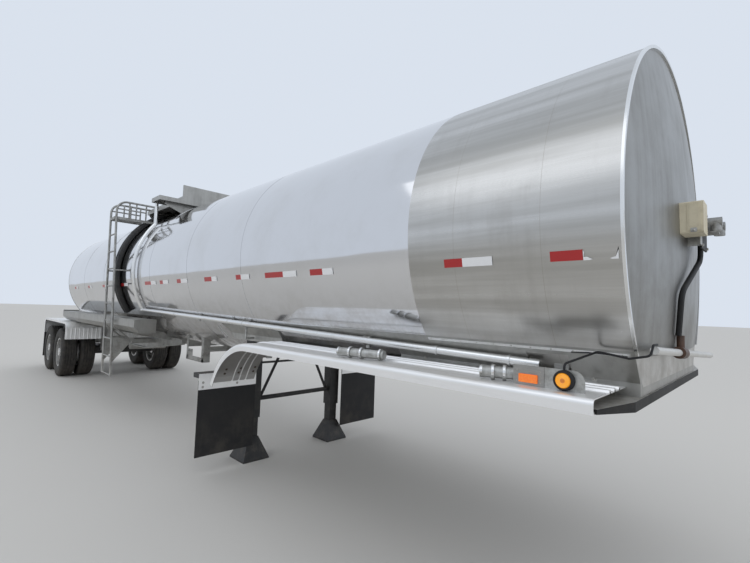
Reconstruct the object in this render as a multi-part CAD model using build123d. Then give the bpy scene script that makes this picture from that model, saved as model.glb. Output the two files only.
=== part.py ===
"""Tank semi-trailer, insulated, parked on its landing legs.

Millimetres. +X points forward, +Z up, Y across; the right-hand side is -Y. The
origin is on the ground under the centre of the overall box. A station is a
distance behind the front edge of the tank jacket, and at() turns it into X.
"""
from build123d import *
import os
from math import acos, asin, cos, degrees, pi, radians, sin, sqrt, tan

# Overall sizes
tank_radius = 1067.0
side_reach = 153.0
half_width = tank_radius + side_reach
front_overhang = 240.0
jacket_length = 11100.0
rear_overhang = 1740.0
rear_end = jacket_length + rear_overhang
origin_station = (rear_end - front_overhang) / 2
seat_gap = 0.3
cut_margin = 1.0

# Coupler plate and kingpin
coupler_height = 1268.0
plate_thickness = 12.0
plate_half = 620.0
plate_rear = 1500.0
box_bottom = coupler_height + plate_thickness
nose_drop = 44.0
nose_end_drop = 18.0
nose_flange = 10.0
nose_depth = 120.0
nose_sweep = 62.0
nose_front_half = 900.0
nose_end_gap = 18.0
kingpin_station = 914.0
kingpin_neck = 25.4
kingpin_flange = 35.7
kingpin_seat = 60.0
kingpin_drop = 84.0
kingpin_neck_top = 30.0
kingpin_neck_length = 36.0

# Tank
belly_drop = 234.0
belly = box_bottom - belly_drop
axis_height = belly + tank_radius
tank_top = axis_height + tank_radius
front_section = 1135.0
head_bulge = 90.0
rear_bulge = 230.0
trim_proud = 5.0
trim_length = 12.0
seam_proud = 2.0
seam_length = 30.0
seam_front_stations = (3200.0, 4470.0, 5740.0)
seam_rear_insets = (1500.0, 3000.0)

# Support box under the front of the tank; the windows are open bays in its walls
box_half = 764.0
box_front = 0.0
box_rear = 3800.0
box_end_slope = 250.0
box_floor = 40.0
belly_slope = 450.0
flare_half = 865.0
flare_fall = 148.0
head_lift = 180.0
window_table = (
    # front station, rear station, height above the box's bottom, height, depth
    (290.0, 500.0, 75.0, 90.0, 90.0),
    (1420.0, 2880.0, 20.0, 130.0, 240.0),
)

# Front fenders
fender_top = 1320.0
fender_front = 60.0
fender_bend = 2735.0
fender_radius = 670.0
fender_turn = 62.0
fender_tail = 60.0
fender_sheet = 5.0
fender_lip = 62.0
fender_shoulder = 24.0
rib_height = 10.0
rib_width = 30.0
rib_slope = 6.0
rib_first = 96.0
rib_pitch = 70.0
rib_count = 3
bracket_size = 40.0
bracket_first = 300.0
bracket_end_gap = 185.0
bracket_count = 4
flap_station = 3580.0
flap_thickness = 8.0
flap_bottom = 170.0
flap_overlap = 90.0
flap_inner = 610.0
hanger_sheet = 6.0
hanger_low = 810.0
hanger_high = 963.0

# Marker plate, lamp and hose stubs on the fender
marker_station = 275.0
marker_length = 310.0
marker_height = 88.0
marker_thickness = 4.0
marker_corner = 45.0
marker_y = 1120.0
lamp_radius = 43.0
lamp_ring = 12.0
lens_radius = 37.0
lens_depth = 22.0
lens_round = 8.0
lamp_station = 200.0
wire_radius = 5.0
wire_clear = 22.0
wire_station = 140.0
wire_front = 15.0
wire_lead = 64.0
wire_start = 32.0
wire_drop = 43.0
wire_sag = 62.0
wire_lap = 40.0
wire_bend = 20.0
stub_radius = 28.0
stub_wall = 4.0
stub_clamp = 35.0
stub_clamp_length = 16.0
stub_table = (
    # outer station, outer distance, inner station, inner distance
    (1640.0, 1140.0, 1310.0, 1052.0),
    (595.0, 1135.0, 400.0, 1052.0),
)

# Pipe along the side, drain hoses
pipe_radius = 25.0
pipe_gap = 14.0
pipe_front = 425.0
pipe_front_height = box_bottom + 105.0
pipe_rear_height = box_bottom + 250.0
pipe_elbow = 34.0
clamp_radius = 30.0
clamp_length = 14.0
clamp_stem = 10.0
clamp_shares = (0.028, 0.108, 0.506, 0.557, 0.795)
hose_radius = 40.0
hose_offsets = (75.0, 165.0)
hose_bottom_angle = 55.0
hose_top_angle = 157.0

# Landing legs
leg_station = 3720.0
leg_y = 558.0
leg_outer = 130.0
leg_inner = 105.0
leg_split = 430.0
foot_size = 300.0
foot_plate = 14.0
foot_height = 230.0
foot_neck = 120.0
brace_height = 620.0
brace_radius = 25.0
strut_radius = 16.0
strut_inner = 120.0
shaft_height = 1010.0
shaft_radius = 12.0
gearbox_size = 120.0
gearbox_height = 76.0
crank_out = 110.0
crank_reach = 260.0
flap_bar_size = 50.0

# Running gear
axle_inset = 300.0
tandem_spread = 1245.0
axle_stations = (jacket_length - axle_inset, jacket_length - axle_inset + tandem_spread)
tyre_radius = 510.0
tyre_width = 280.0
twin_gap = 50.0
tyre_shoulder = 38.0
tread_edge = 22.0
rim_radius = 286.0
rim_flange = 14.0
rim_width = 232.0
rim_wall = 12.0
flange_thickness = 12.0
hub_radius = 110.0
hub_cap_radius = 85.0
hub_inset = 60.0
hub_face_inset = 62.0
disc_thickness = 14.0
disc_rise = 55.0
hand_hole_radius = 28.0
hand_hole_circle = 188.0
hand_hole_count = 8
axle_radius = 63.5
spindle_radius = 44.9
bearing_clearance = 0.1
hub_inner_gap = 12.0
spring_y = 500.0
spring_width = 76.0
spring_leaf = 15.0
spring_leaves = 3
spring_arch = 60.0
spring_seat = 22.0
leaf_step = 130.0
hanger_top_half = 80.0
hanger_tip_half = 50.0
hanger_cheek = 12.0
chamber_radius = 78.0
chamber_length = 150.0
chamber_y = 300.0
chamber_offset = 170.0

# Frame under the rear of the tank
frame_length = 6940.0
rail_front = rear_end - frame_length
rail_y = 500.0
rail_web = 10.0
rail_flange = 90.0
rail_flange_thickness = 12.0
rail_gap = 50.0
rail_depth = 260.0
rail_nose = 90.0
rail_slope = 1500.0
cross_count = 6
cross_first = 700.0
cross_last = 240.0
cross_depth = 60.0
cross_width = 80.0
cross_gap = 2.0
saddle_count = 4
saddle_first = 400.0
saddle_thickness = 10.0
saddle_half = 572.0
saddle_lap = 40.0
gusset_thickness = 8.0
gusset_depth = 30.0
air_tank_radius = 115.0
air_tank_half = 330.0
air_tank_drop = 60.0
air_tank_lead = 1850.0

# Rear fenders, bumper and lamps
fender_clear = 165.0
rear_fender_lead = 720.0
rear_fender_trail = 655.0
rear_fender_drop = 355.0
rear_fender_inner = 580.0
rear_fender_radius = 130.0
rear_fender_lip = 45.0
flute_count = 9
flute_width = 26.0
flute_height = 7.0
rear_flap_bottom = 250.0
rear_flap_lap = 60.0
bumper_bottom = 520.0
bumper_height = 110.0
bumper_depth = 90.0
bumper_half = 1150.0
bumper_post = 90.0
bumper_post_depth = 60.0
lamp_bar_half = 650.0
lamp_bar_height = 120.0
lamp_bar_drop = 30.0
lamp_bar_sheet = 12.0
tail_lamp_radius = 50.0
tail_lamp_depth = 30.0
tail_lamp_table = (-560.0, -440.0, 440.0, 560.0)
outlet_radius = 57.0
outlet_height = 860.0
outlet_lead = 150.0
outlet_trail = 1470.0
adapter_radius = 51.0
adapter_length = 70.0

# Ladder and its landing
ladder_lag = 260.0
ladder_width = 320.0
ladder_flare = 150.0
ladder_y = half_width - 20.0
ladder_foot_y = half_width - 58.0
ladder_tube = 16.0
ladder_foot = 510.0
rung_radius = 12.0
rung_pitch = 272.0
landing_drop = 230.0
landing_depth = 40.0
landing_inner = 820.0
grate_bars = 6
grate_bar = 6.0
handrail_bend = 150.0
handrail_lap = 35.0
post_table = (1020.0, 920.0, 775.0)
post_radius = 11.0
post_inset = 12.0
standoff_lift = 17.0
foot_bar_height = 1065.0
foot_bar_inner = 860.0
foot_bar_size = 30.0
foot_brace_rise = 205.0
foot_brace_inner = 930.0
foot_gusset_low = 700.0

# Top deck, spill box, manway and strip
manway_lag = 4350.0
manway_station = jacket_length - manway_lag
deck_lead = 750.0
deck_trail = 650.0
deck_front = manway_station - deck_lead
deck_rear = manway_station + deck_trail
wing_length = 340.0
wing_half = 910.0
deck_half = 640.0
deck_rise = 30.0
deck_sheet = 6.0
deck_hem = 62.0
skirt_inset = 110.0
skirt_edge = 95.0
skirt_depth = 190.0
skirt_foot = 560.0
loop_length = 250.0
loop_height = 140.0
loop_low = 95.0
loop_radius = 9.0
loop_bend = 40.0
spill_half = 580.0
spill_height = 225.0
spill_side = 55.0
spill_wall = 5.0
spill_fold = 25.0
pipe_rear = deck_front + wing_length - 45.0
pipe_riser = wing_half - 60.0
ladder_front = manway_station + ladder_lag
ladder_rear = ladder_front + ladder_width
hose_stations = tuple(ladder_front + offset for offset in hose_offsets)
manway_bore = 254.0
manway_wall = 10.0
manway_rise = 150.0
lid_radius = 292.0
lid_thickness = 12.0
lid_gap = 6.0
lid_rim = 14.0
lid_skirt = 26.0
hinge_pin = 12.0
hinge_barrel = 22.0
hinge_clearance = 0.1
hinge_reach = 330.0
hinge_half = 60.0
hinge_side_gap = 5.0
lug_thickness = 14.0
lug_drop = 8.0
lug_depth = 26.0
strip_front = 1750.0
strip_half = 150.0
strip_height = 45.0

# Hose carrier
carrier_front = deck_front
carrier_rear_gap = 50.0
carrier_rear = jacket_length - carrier_rear_gap
carrier_width = 290.0
carrier_gap = 49.0
carrier_clear = 15.0
carrier_height = 195.0
carrier_chamfer = 85.0
carrier_wall = 5.0
carrier_lip = 8.0
arm_count = 4
arm_inset = 300.0
door_thickness = 6.0
door_gap = 6.0
door_top_gap = 4.0
door_pin = 6.0
door_barrel = 11.0
door_hinge_lift = 16.0
door_side_gap = 6.0
door_lug = 20.0

# Fittings on the front head
box_depth = 95.0
box_width = 150.0
box_height = 170.0
box_y = 200.0
box_drop = 23.0
bracket_drop = 73.0
bracket_height = 230.0
bracket_left = 160.0
bracket_right = 60.0
bracket_sheet = 10.0
socket_radius = 34.0
gladhand_radius = 26.0
conduit_radius = 12.0
head_hose_pitch = 26.0
head_hose_bend = 90.0
head_hose_route = (
    # reach in front of the jacket, distance to the left, height above the axis
    (133.0, 38.0, 20.0),
    (133.0, 38.0, -130.0),
    (94.0, -328.0, -335.0),
    (76.0, -328.0, -560.0),
)
cross_pipe_radius = 18.0
cross_pipe_near = 800.0
cross_pipe_far = 620.0
cross_pipe_rise = 217.0
cross_pipe_fall = 92.0
cross_pipe_stand = 62.0
cross_pipe_lead = 15.0
valve_share = 0.34
valve_length = 90.0
valve_radius = 31.0


def at(station):
    """X of a station behind the front edge of the jacket."""
    return origin_station - station


def block(x_low, x_high, y_low, y_high, z_low, z_high):
    """A box between two corners."""
    size = (x_high - x_low, y_high - y_low, z_high - z_low)
    centre = ((x_low + x_high) / 2, (y_low + y_high) / 2, (z_low + z_high) / 2)
    return Pos(*centre) * Box(*size)


def rod_x(radius, x_low, x_high, y, z):
    """A round bar along X."""
    bar = Cylinder(radius, x_high - x_low, rotation=(0, 90, 0))
    return Pos((x_low + x_high) / 2, y, z) * bar


def rod_y(radius, x, y_low, y_high, z):
    """A round bar along Y."""
    bar = Cylinder(radius, y_high - y_low, rotation=(90, 0, 0))
    return Pos(x, (y_low + y_high) / 2, z) * bar


def rod_z(radius, x, y, z_low, z_high):
    """A round bar along Z."""
    return Pos(x, y, (z_low + z_high) / 2) * Cylinder(radius, z_high - z_low)


def bar_between(radius, start, end):
    """A round bar between two points."""
    start = Vector(*start)
    end = Vector(*end)
    plane = Plane(origin=start, z_dir=end - start)
    return extrude(plane * Circle(radius), (end - start).length)


def side_plate(points, y_low, y_high):
    """An outline in X and Z, given thickness along Y."""
    face = make_face(Polyline(*[(x, y_high, z) for x, z in points], close=True))
    return extrude(face, y_high - y_low, dir=(0, -1, 0))


def cross_plate(points, x_low, x_high):
    """An outline in Y and Z, given thickness along X."""
    face = make_face(Polyline(*[(x_low, y, z) for y, z in points], close=True))
    return extrude(face, x_high - x_low, dir=(1, 0, 0))


def level_plate(points, z_low, z_high):
    """An outline in X and Y, given thickness along Z."""
    face = make_face(Polyline(*[(x, y, z_low) for x, y in points], close=True))
    return extrude(face, z_high - z_low, dir=(0, 0, 1))


def both_sides(piece):
    """A piece and its mirror image across the vertical middle plane."""
    return [piece, mirror(piece, Plane.XZ)]


def spread(first, last, count):
    """Evenly spaced values from the first to the last."""
    return [first + (last - first) * index / (count - 1) for index in range(count)]


def save(name, *solids):
    """Write one sub-part, of one solid or of several that don't touch."""
    parts = []
    for solid in solids:
        parts.extend(solid.solids())
    whole = parts[0] if len(parts) == 1 else Compound(parts)
    export_step(whole, f"parts/{name}.step")


def surface_z(y):
    """Height of the jacket's underside at a distance from the middle."""
    return axis_height - sqrt(tank_radius**2 - y**2)


def tank_cylinder(x_low, x_high, radius):
    """A round slug on the tank's axis."""
    return rod_x(radius, x_low, x_high, 0, axis_height)


def tank_cutter():
    """The tank's round body, longer than the trailer, for cutting seats."""
    return tank_cylinder(at(rear_end), at(-front_overhang), tank_radius)


def on_tank(radius, angle):
    """Y and Z of a point beside the tank; the angle is from straight down."""
    a = radians(angle)
    return -radius * sin(a), axis_height - radius * cos(a)


def ring_y(radius, height):
    """Y on the right of the tank where a ring round its axis has a height."""
    return -sqrt(radius**2 - (axis_height - height) ** 2)


def hoop(radius, tube, station, low_angle, high_angle):
    """A round tube that follows the tank round its right-hand side."""
    y, z = on_tank(radius, low_angle)
    a = radians(low_angle)
    plane = Plane(origin=(at(station), y, z), x_dir=(1, 0, 0), z_dir=(0, -cos(a), sin(a)))
    axis = Axis((0, 0, axis_height), (-1, 0, 0))
    return revolve(plane * Circle(tube), axis, high_angle - low_angle)


def head_dome(x, way, bulge):
    """A shallow dished head; way is 1 for the front and -1 for the rear."""
    rim = tank_radius - trim_length
    nose = (x + way * bulge, 0, axis_height)
    edge = (x, 0, axis_height + rim)
    base = (x, 0, axis_height)
    sag_radius = (rim**2 + bulge**2) / (2 * bulge)
    half_angle = asin(rim / sag_radius) / 2
    centre_x = x + way * (bulge - sag_radius)
    middle = (centre_x + way * sag_radius * cos(half_angle), 0, axis_height + sag_radius * sin(half_angle))
    wire = [Line(base, nose), ThreePointArc(nose, middle, edge), Line(edge, base)]
    return revolve(make_face(wire), Axis(base, (1, 0, 0)), 360)


def coupler_pocket(rise=box_floor):
    """The space under the front of the tank that the support box fills."""
    low = belly - seam_proud
    high = box_bottom + rise
    rear = at(box_rear + belly_slope)
    points = [
        (at(-front_overhang), 0),
        (at(-front_overhang), high),
        (at(box_rear), high),
        (rear, low - cut_margin),
        (rear, 0),
    ]
    return side_plate(points, -half_width, half_width)


def jacket_body():
    """The main jacket with its raised seams."""
    main = tank_cylinder(at(jacket_length), at(front_section), tank_radius)
    rear_seams = tuple(jacket_length - inset for inset in seam_rear_insets)
    for station in seam_front_stations + rear_seams:
        x = at(station)
        main += tank_cylinder(x - seam_length / 2, x + seam_length / 2, tank_radius + seam_proud)
    return main - coupler_pocket()


def front_dome():
    """The front head, cut off level over the front of the support box."""
    return head_dome(at(0), 1, head_bulge) - coupler_pocket(head_lift)


def tank():
    """Jacket in its two finishes, both heads and the trim rings."""
    pocket = coupler_pocket()
    save("tank_front_jacket", tank_cylinder(at(front_section), at(0), tank_radius) - pocket)
    save("tank_main_jacket", jacket_body())
    save("front_head", front_dome())
    save("rear_head", head_dome(at(jacket_length), -1, rear_bulge))
    rings = []
    for x_low in (at(0), at(jacket_length) - trim_length):
        outer = tank_cylinder(x_low, x_low + trim_length, tank_radius + trim_proud)
        ring = outer - tank_cylinder(x_low, x_low + trim_length, tank_radius - trim_length)
        rings.append(ring - coupler_pocket(head_lift))
    save("trim_rings", *rings)


def box_section(x_low, x_high):
    """A length of the support box, its walls flaring out to the jacket."""
    flare_z = surface_z(flare_half)
    wall_z = flare_z - flare_fall
    outline = [
        (-flare_half, flare_z),
        (-box_half, wall_z),
        (-box_half, box_bottom),
        (box_half, box_bottom),
        (box_half, wall_z),
        (flare_half, flare_z),
    ]
    return cross_plate(outline, x_low, x_high)


def front_support():
    """Box under the front of the tank, with the bays open in its walls."""
    flare_z = surface_z(flare_half)
    rear = at(box_rear + box_end_slope)
    bolster = box_section(rear, at(box_front))
    bolster -= tank_cutter() - coupler_pocket()
    below = box_bottom - cut_margin
    slope = [(at(box_rear), below), (rear, below), (rear, flare_z + cut_margin)]
    bolster -= side_plate(slope, -half_width, half_width)
    for front, back, low, height, depth in window_table:
        z = box_bottom + low
        bay = block(at(back), at(front), -half_width, depth - box_half, z, z + height)
        bolster -= bay
        bolster -= mirror(bay, Plane.XZ)
    bolster -= jacket_body()
    save("front_bolster", bolster)


def nose_outline(front, rear):
    """Plan of the nose, with its ends swept back under the fenders."""
    half = half_width - nose_end_gap
    sweep_x = front - nose_sweep
    return [
        (rear, -half),
        (sweep_x, -half),
        (front, -nose_front_half),
        (front, nose_front_half),
        (sweep_x, half),
        (rear, half),
    ]


def coupler():
    """Coupler plate with its nose across the whole width, and the kingpin."""
    x = at(kingpin_station)
    front = at(box_front)
    plate = block(at(plate_rear), front, -plate_half, plate_half, coupler_height, box_bottom)
    plate -= rod_z(kingpin_seat, x, 0, coupler_height - cut_margin, box_bottom + cut_margin)
    lip = front + nose_flange
    nose = level_plate(nose_outline(lip, front - nose_depth), coupler_height, box_bottom)
    outline = nose_outline(lip, lip - 2 * nose_flange - nose_sweep)
    flange = level_plate(outline, box_bottom - nose_drop, box_bottom)
    flange -= level_plate(nose_outline(lip - nose_flange, front - nose_depth), 0, coupler_height)
    for side in (1, -1):
        rise = [
            (side * nose_front_half, box_bottom - nose_drop),
            (side * half_width, box_bottom - nose_end_drop),
            (side * half_width, box_bottom - 2 * nose_drop),
            (side * nose_front_half, box_bottom - 2 * nose_drop),
        ]
        flange -= cross_plate(rise, front - nose_depth, lip + nose_flange)
    save("coupler_plate", plate + nose + flange)
    neck_high = coupler_height - kingpin_neck_top
    neck_low = neck_high - kingpin_neck_length
    pin = rod_z(kingpin_seat, x, 0, coupler_height, box_bottom)
    pin += rod_z(kingpin_flange, x, 0, neck_high, coupler_height)
    pin += rod_z(kingpin_neck, x, 0, neck_low, neck_high)
    pin += rod_z(kingpin_flange, x, 0, coupler_height - kingpin_drop, neck_low)
    save("kingpin", pin)


def fender_line():
    """The fender's outer line from its front to its tail."""
    turn = radians(fender_turn)
    x_bend = at(fender_bend)
    z_centre = fender_top - fender_radius

    def on_arc(angle):
        return (x_bend - fender_radius * sin(angle), 0, z_centre + fender_radius * cos(angle))

    bend = on_arc(0)
    turned = on_arc(turn)
    tail = (turned[0] - fender_tail * cos(turn), 0, turned[2] - fender_tail * sin(turn))
    front = (at(fender_front), 0, fender_top)
    return Line(front, bend) + ThreePointArc(bend, on_arc(turn / 2), turned) + Line(turned, tail)


def fender_section():
    """Cross-section of the right fender: ribs, rounded shoulder and lip."""
    x = at(fender_front)
    inner = -box_half - seat_gap
    shoulder = -half_width + fender_shoulder
    inside = fender_shoulder - fender_sheet
    bevel = fender_shoulder * (1 - cos(pi / 4))
    inside_bevel = fender_sheet + inside * (1 - cos(pi / 4))
    upper = [(inner, 0.0)]
    lower = [(inner, -fender_sheet)]
    for index in range(rib_count):
        y = inner - rib_first - rib_pitch * index
        half = rib_width / 2
        top = half - rib_slope
        upper += [(y + half, 0.0), (y + top, rib_height), (y - top, rib_height), (y - half, 0.0)]
        lower += [
            (y + top, -fender_sheet),
            (y + top - rib_slope, rib_height - fender_sheet),
            (y - top + rib_slope, rib_height - fender_sheet),
            (y - top, -fender_sheet),
        ]
    upper.append((shoulder, 0.0))
    lower.append((shoulder, -fender_sheet))

    def place(points):
        return [(x, y, fender_top + z) for y, z in points]

    outer_arc = place([(shoulder, 0.0), (-half_width + bevel, -bevel), (-half_width, -fender_shoulder)])
    inner_arc = place([
        (shoulder, -fender_sheet),
        (-half_width + inside_bevel, -inside_bevel),
        (-half_width + fender_sheet, -fender_shoulder),
    ])
    end = place([
        (-half_width, -fender_shoulder),
        (-half_width, -fender_lip),
        (-half_width + fender_sheet, -fender_lip),
        (-half_width + fender_sheet, -fender_shoulder),
    ])
    edges = [
        Polyline(*place(upper)),
        ThreePointArc(*outer_arc),
        Polyline(*end),
        ThreePointArc(*inner_arc),
        Polyline(*place(lower)),
        Line(place(upper)[0], place(lower)[0]),
    ]
    return make_face(edges)


def front_fenders():
    """Fenders with ribs, their brackets, and the flaps behind them."""
    fender = sweep(fender_section(), fender_line())
    save("front_fenders", *both_sides(fender))
    bracket_top = fender_top - fender_sheet
    pieces = []
    for station in spread(bracket_first, fender_bend - bracket_end_gap, bracket_count):
        x = at(station)
        arm = block(
            x - bracket_size / 2, x + bracket_size / 2,
            -half_width + fender_shoulder, -box_half,
            bracket_top - bracket_size, bracket_top,
        )
        pieces += both_sides(arm)
    save("fender_brackets", *pieces)
    x = at(flap_station)
    hanger = block(x, x + hanger_sheet, -half_width, -flap_inner, hanger_low, hanger_high)
    save("flap_hangers", *both_sides(hanger))
    flap = block(x - flap_thickness, x, -half_width, -flap_inner, flap_bottom, hanger_low + flap_overlap)
    save("front_mud_flaps", *both_sides(flap))


def lamp_wire(y, z):
    """The black wire from the marker lamp along the jacket to the front head."""
    edge = -flare_half - wire_clear
    high = box_bottom + cross_pipe_rise + cross_pipe_radius + wire_radius + cut_margin
    points = [
        (at(lamp_station), y, z),
        (at(lamp_station), y, z + wire_start),
        (at(wire_station), edge, high - wire_drop),
        (at(wire_front), edge, high - wire_sag),
        (at(-wire_lead), edge, high - wire_drop),
        (at(-wire_lead), -cross_pipe_near - wire_start, high),
        (at(-wire_lead), wire_lap - cross_pipe_near, high),
    ]
    path = FilletPolyline(*points, radius=wire_bend)
    return sweep(Plane(origin=points[0], z_dir=(0, 0, 1)) * Circle(wire_radius), path)


def fender_fittings():
    """Marker plates, lamps and the open hose stubs."""
    low = fender_top
    x_front = at(marker_station - marker_length / 2)
    x_rear = at(marker_station + marker_length / 2)
    plate = block(x_rear, x_front, -marker_y - marker_thickness, -marker_y, low, low + marker_height)
    corner = plate.edges().filter_by(Axis.Y).sort_by(lambda edge: edge.center().X + edge.center().Z)[-1]
    save("marker_plates", *both_sides(fillet(corner, marker_corner)))
    face = -marker_y - marker_thickness
    middle = low + marker_height / 2
    lens = rod_y(lens_radius, at(lamp_station), face - lens_depth, face, middle)
    lens = fillet(lens.edges().filter_by(GeomType.CIRCLE).sort_by(Axis.Y)[0], lens_round)
    lamp = rod_y(lamp_radius, at(lamp_station), face - lamp_ring, face, middle)
    lamp = chamfer(lamp.edges().filter_by(GeomType.CIRCLE).sort_by(Axis.Y)[0], lamp_ring / 3)
    right, left = both_sides(lamp + lens)
    save("marker_lamps", right + lamp_wire(face - lamp_ring / 2, middle + lamp_radius - lamp_ring / 2), left)
    stubs = []
    z = fender_top + stub_clamp + seat_gap
    for outer_station, outer_y, inner_station, inner_y in stub_table:
        start = Vector(at(outer_station), -outer_y, z)
        end = Vector(at(inner_station), -inner_y, z)
        run = end - start
        stub = bar_between(stub_radius, start, end)
        for share in (0.25, 0.5, 0.9):
            low_point = start + run * share
            high_point = low_point + run.normalized() * stub_clamp_length
            stub += bar_between(stub_clamp, low_point, high_point)
        stub -= bar_between(stub_radius - stub_wall, start - run * 0.1, start + run * 0.8)
        stubs.append(stub)
    save("hose_stubs", *stubs)


def side_lines():
    """The pipe along the right-hand side, the drain hoses, the head's pipe."""
    ring = tank_radius + pipe_gap + pipe_radius
    front = (at(pipe_front), ring_y(ring, pipe_front_height), pipe_front_height)
    rear = (at(pipe_rear), ring_y(ring, pipe_rear_height), pipe_rear_height)
    pipe = bar_between(pipe_radius, front, rear)
    pipe += Pos(*rear) * Sphere(pipe_elbow)
    low_angle = degrees(acos((axis_height - pipe_rear_height) / ring))
    high_angle = 180 - degrees(asin(pipe_riser / ring))
    pipe += hoop(ring, pipe_radius, pipe_rear, low_angle, high_angle)
    top_z = on_tank(ring, high_angle)[1]
    under_deck = tank_top + deck_rise - deck_sheet
    pipe += rod_z(pipe_radius, at(pipe_rear), -pipe_riser, top_z - pipe_radius, under_deck)
    for share in clamp_shares:
        x, y, z = Vector(*front) + (Vector(*rear) - Vector(*front)) * share
        stem = rod_y(clamp_stem, x, y, -box_half, z)
        stem -= tank_cylinder(x - 2 * clamp_stem, x + 2 * clamp_stem, tank_radius)
        if x > at(box_rear):
            stem -= box_section(x - 2 * clamp_stem, x + 2 * clamp_stem)
        pipe += stem.solids().sort_by(Axis.Y)[0]
        pipe += rod_x(clamp_radius, x - clamp_length / 2, x + clamp_length / 2, y, z)
    save("side_pipe", pipe, cross_pipe())
    hoses = []
    for station in hose_stations:
        ring = tank_radius + seat_gap + hose_radius
        hoses.append(hoop(ring, hose_radius, station, hose_bottom_angle, hose_top_angle))
    save("drain_hoses", *hoses)


def cross_pipe():
    """The pipe across the foot of the front head, with its valve and stems."""
    x = at(0) + cross_pipe_stand
    z = box_bottom + cross_pipe_rise
    near = Vector(x, -cross_pipe_near, z)
    far = Vector(x + cross_pipe_lead * 3, cross_pipe_far, z - cross_pipe_fall)
    run = far - near
    pipe = bar_between(cross_pipe_radius, near, far)
    start = near + run * valve_share
    pipe += bar_between(valve_radius, start, start + run.normalized() * valve_length)
    middle = start + run.normalized() * valve_length / 2
    pipe += rod_z(cross_pipe_radius, middle.X, middle.Y, middle.Z, middle.Z + valve_length)
    for share in (0.12, 0.88):
        foot = near + run * share
        stem = rod_x(clamp_stem, at(0), foot.X, foot.Y, foot.Z)
        pipe += stem
    ring = tank_cylinder(at(0), at(0) + trim_length, tank_radius + trim_proud)
    ring -= tank_cylinder(at(0), at(0) + trim_length, tank_radius - trim_length) + coupler_pocket(head_lift)
    return pipe - ring - front_dome()


def landing_gear():
    """Legs with flared feet, flap bars, gearbox and crank, and the braces."""
    x = at(leg_station)
    legs = []
    for side in (-1, 1):
        y = side * leg_y
        half = leg_outer / 2
        leg = block(x - half, x + half, y - half, y + half, leg_split, box_bottom)
        half = leg_inner / 2
        leg += block(x - half, x + half, y - half, y + half, foot_height, leg_split)
        flare = degrees(atan_of((foot_size - foot_neck) / 2, foot_height - foot_plate))
        sole = Pos(x, y, foot_plate) * Rectangle(foot_size, foot_size)
        leg += extrude(sole, foot_height - foot_plate, taper=flare)
        half = foot_size / 2
        leg += block(x - half, x + half, y - half, y + half, 0, foot_plate)
        low, high = sorted((y, side * (half_width - fender_sheet)))
        leg += block(x, at(flap_station), low, high, hanger_high - flap_bar_size + hanger_sheet, hanger_high)
        if side == 1:
            half = gearbox_size / 2
            rise = gearbox_height / 2
            face = y + leg_outer / 2 + gearbox_size
            leg += block(x - half, x + half, y, face, shaft_height - rise, shaft_height + rise)
            leg += rod_y(shaft_radius, x, face, face + crank_out, shaft_height)
            leg += rod_x(shaft_radius, x - crank_reach, x + shaft_radius, face + crank_out, shaft_height)
        legs.append(leg)
    save("landing_legs", *legs)
    edge = leg_y - leg_outer / 2
    brace = rod_y(brace_radius, x, -edge, edge, brace_height)
    shaft = rod_y(shaft_radius, x, -edge, edge, shaft_height)
    for side in (-1, 1):
        foot = (x, side * (edge - brace_radius), brace_height)
        head = (x, side * strut_inner, box_bottom + brace_radius)
        brace += bar_between(strut_radius, foot, head)
    brace += block(x - brace_radius, x + brace_radius, -strut_inner * 1.5, strut_inner * 1.5,
                   box_bottom - brace_radius, box_bottom)
    brace -= block(x - leg_outer, x + leg_outer, -edge, edge, box_bottom, box_bottom + 4 * brace_radius)
    save("landing_brace", brace + shaft)


def tyre_outline(x, middle):
    """Half-section of a tyre, as distances out from the axle and across."""
    half = tyre_width / 2
    bead = rim_width / 2 - flange_thickness
    table = (
        # out from the axle, across
        (rim_radius, bead),
        (rim_radius + rim_flange, bead),
        (rim_radius + rim_flange * 2, half - rim_flange),
        ((rim_radius + tyre_radius) / 2, half),
        (tyre_radius - tyre_shoulder, half - rim_flange),
        (tyre_radius, half - rim_flange - tread_edge),
    )
    points = [(out, -across) for out, across in table] + [(out, across) for out, across in reversed(table)]
    return Polyline(*[(x, middle + across, tyre_radius + out) for out, across in points], close=True)


def rim_outline(x, middle):
    """Section of a rim between its two flanges."""
    half = rim_width / 2
    table = (
        # out from the axle, across
        (rim_radius - rim_wall, half),
        (rim_radius + rim_flange, half),
        (rim_radius + rim_flange, half - flange_thickness),
        (rim_radius, half - flange_thickness),
    )
    points = [(out, -across) for out, across in table] + [(out, across) for out, across in reversed(table)]
    return Polyline(*[(x, middle + across, tyre_radius + out) for out, across in points], close=True)


def wheel_ends():
    """Twin tyres and their wheels, one body at each end of each axle."""
    outer_y = half_width - tyre_width / 2
    inner_y = outer_y - tyre_width - twin_gap
    hub_low = inner_y - tyre_width / 2 + hub_inset
    hub_high = outer_y + tyre_width / 2 - hub_face_inset
    for axle_name, station in zip(("front", "rear"), axle_stations):
        x = at(station)
        axis = Axis((x, 0, tyre_radius), (0, 1, 0))
        tyres = [revolve(make_face(tyre_outline(x, y)), axis, 360) for y in (outer_y, inner_y)]
        wheel = wheel_right(x, axis, outer_y, inner_y, hub_low, hub_high)
        for side_name, right in (("right", True), ("left", False)):
            turned = [mirror(piece, Plane.XZ) for piece in tyres] if right else tyres
            save(f"tyres_{axle_name}_{side_name}", *turned)
            save(f"wheels_{axle_name}_{side_name}", mirror(wheel, Plane.XZ) if right else wheel)
    axles(hub_low, hub_high)


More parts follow.
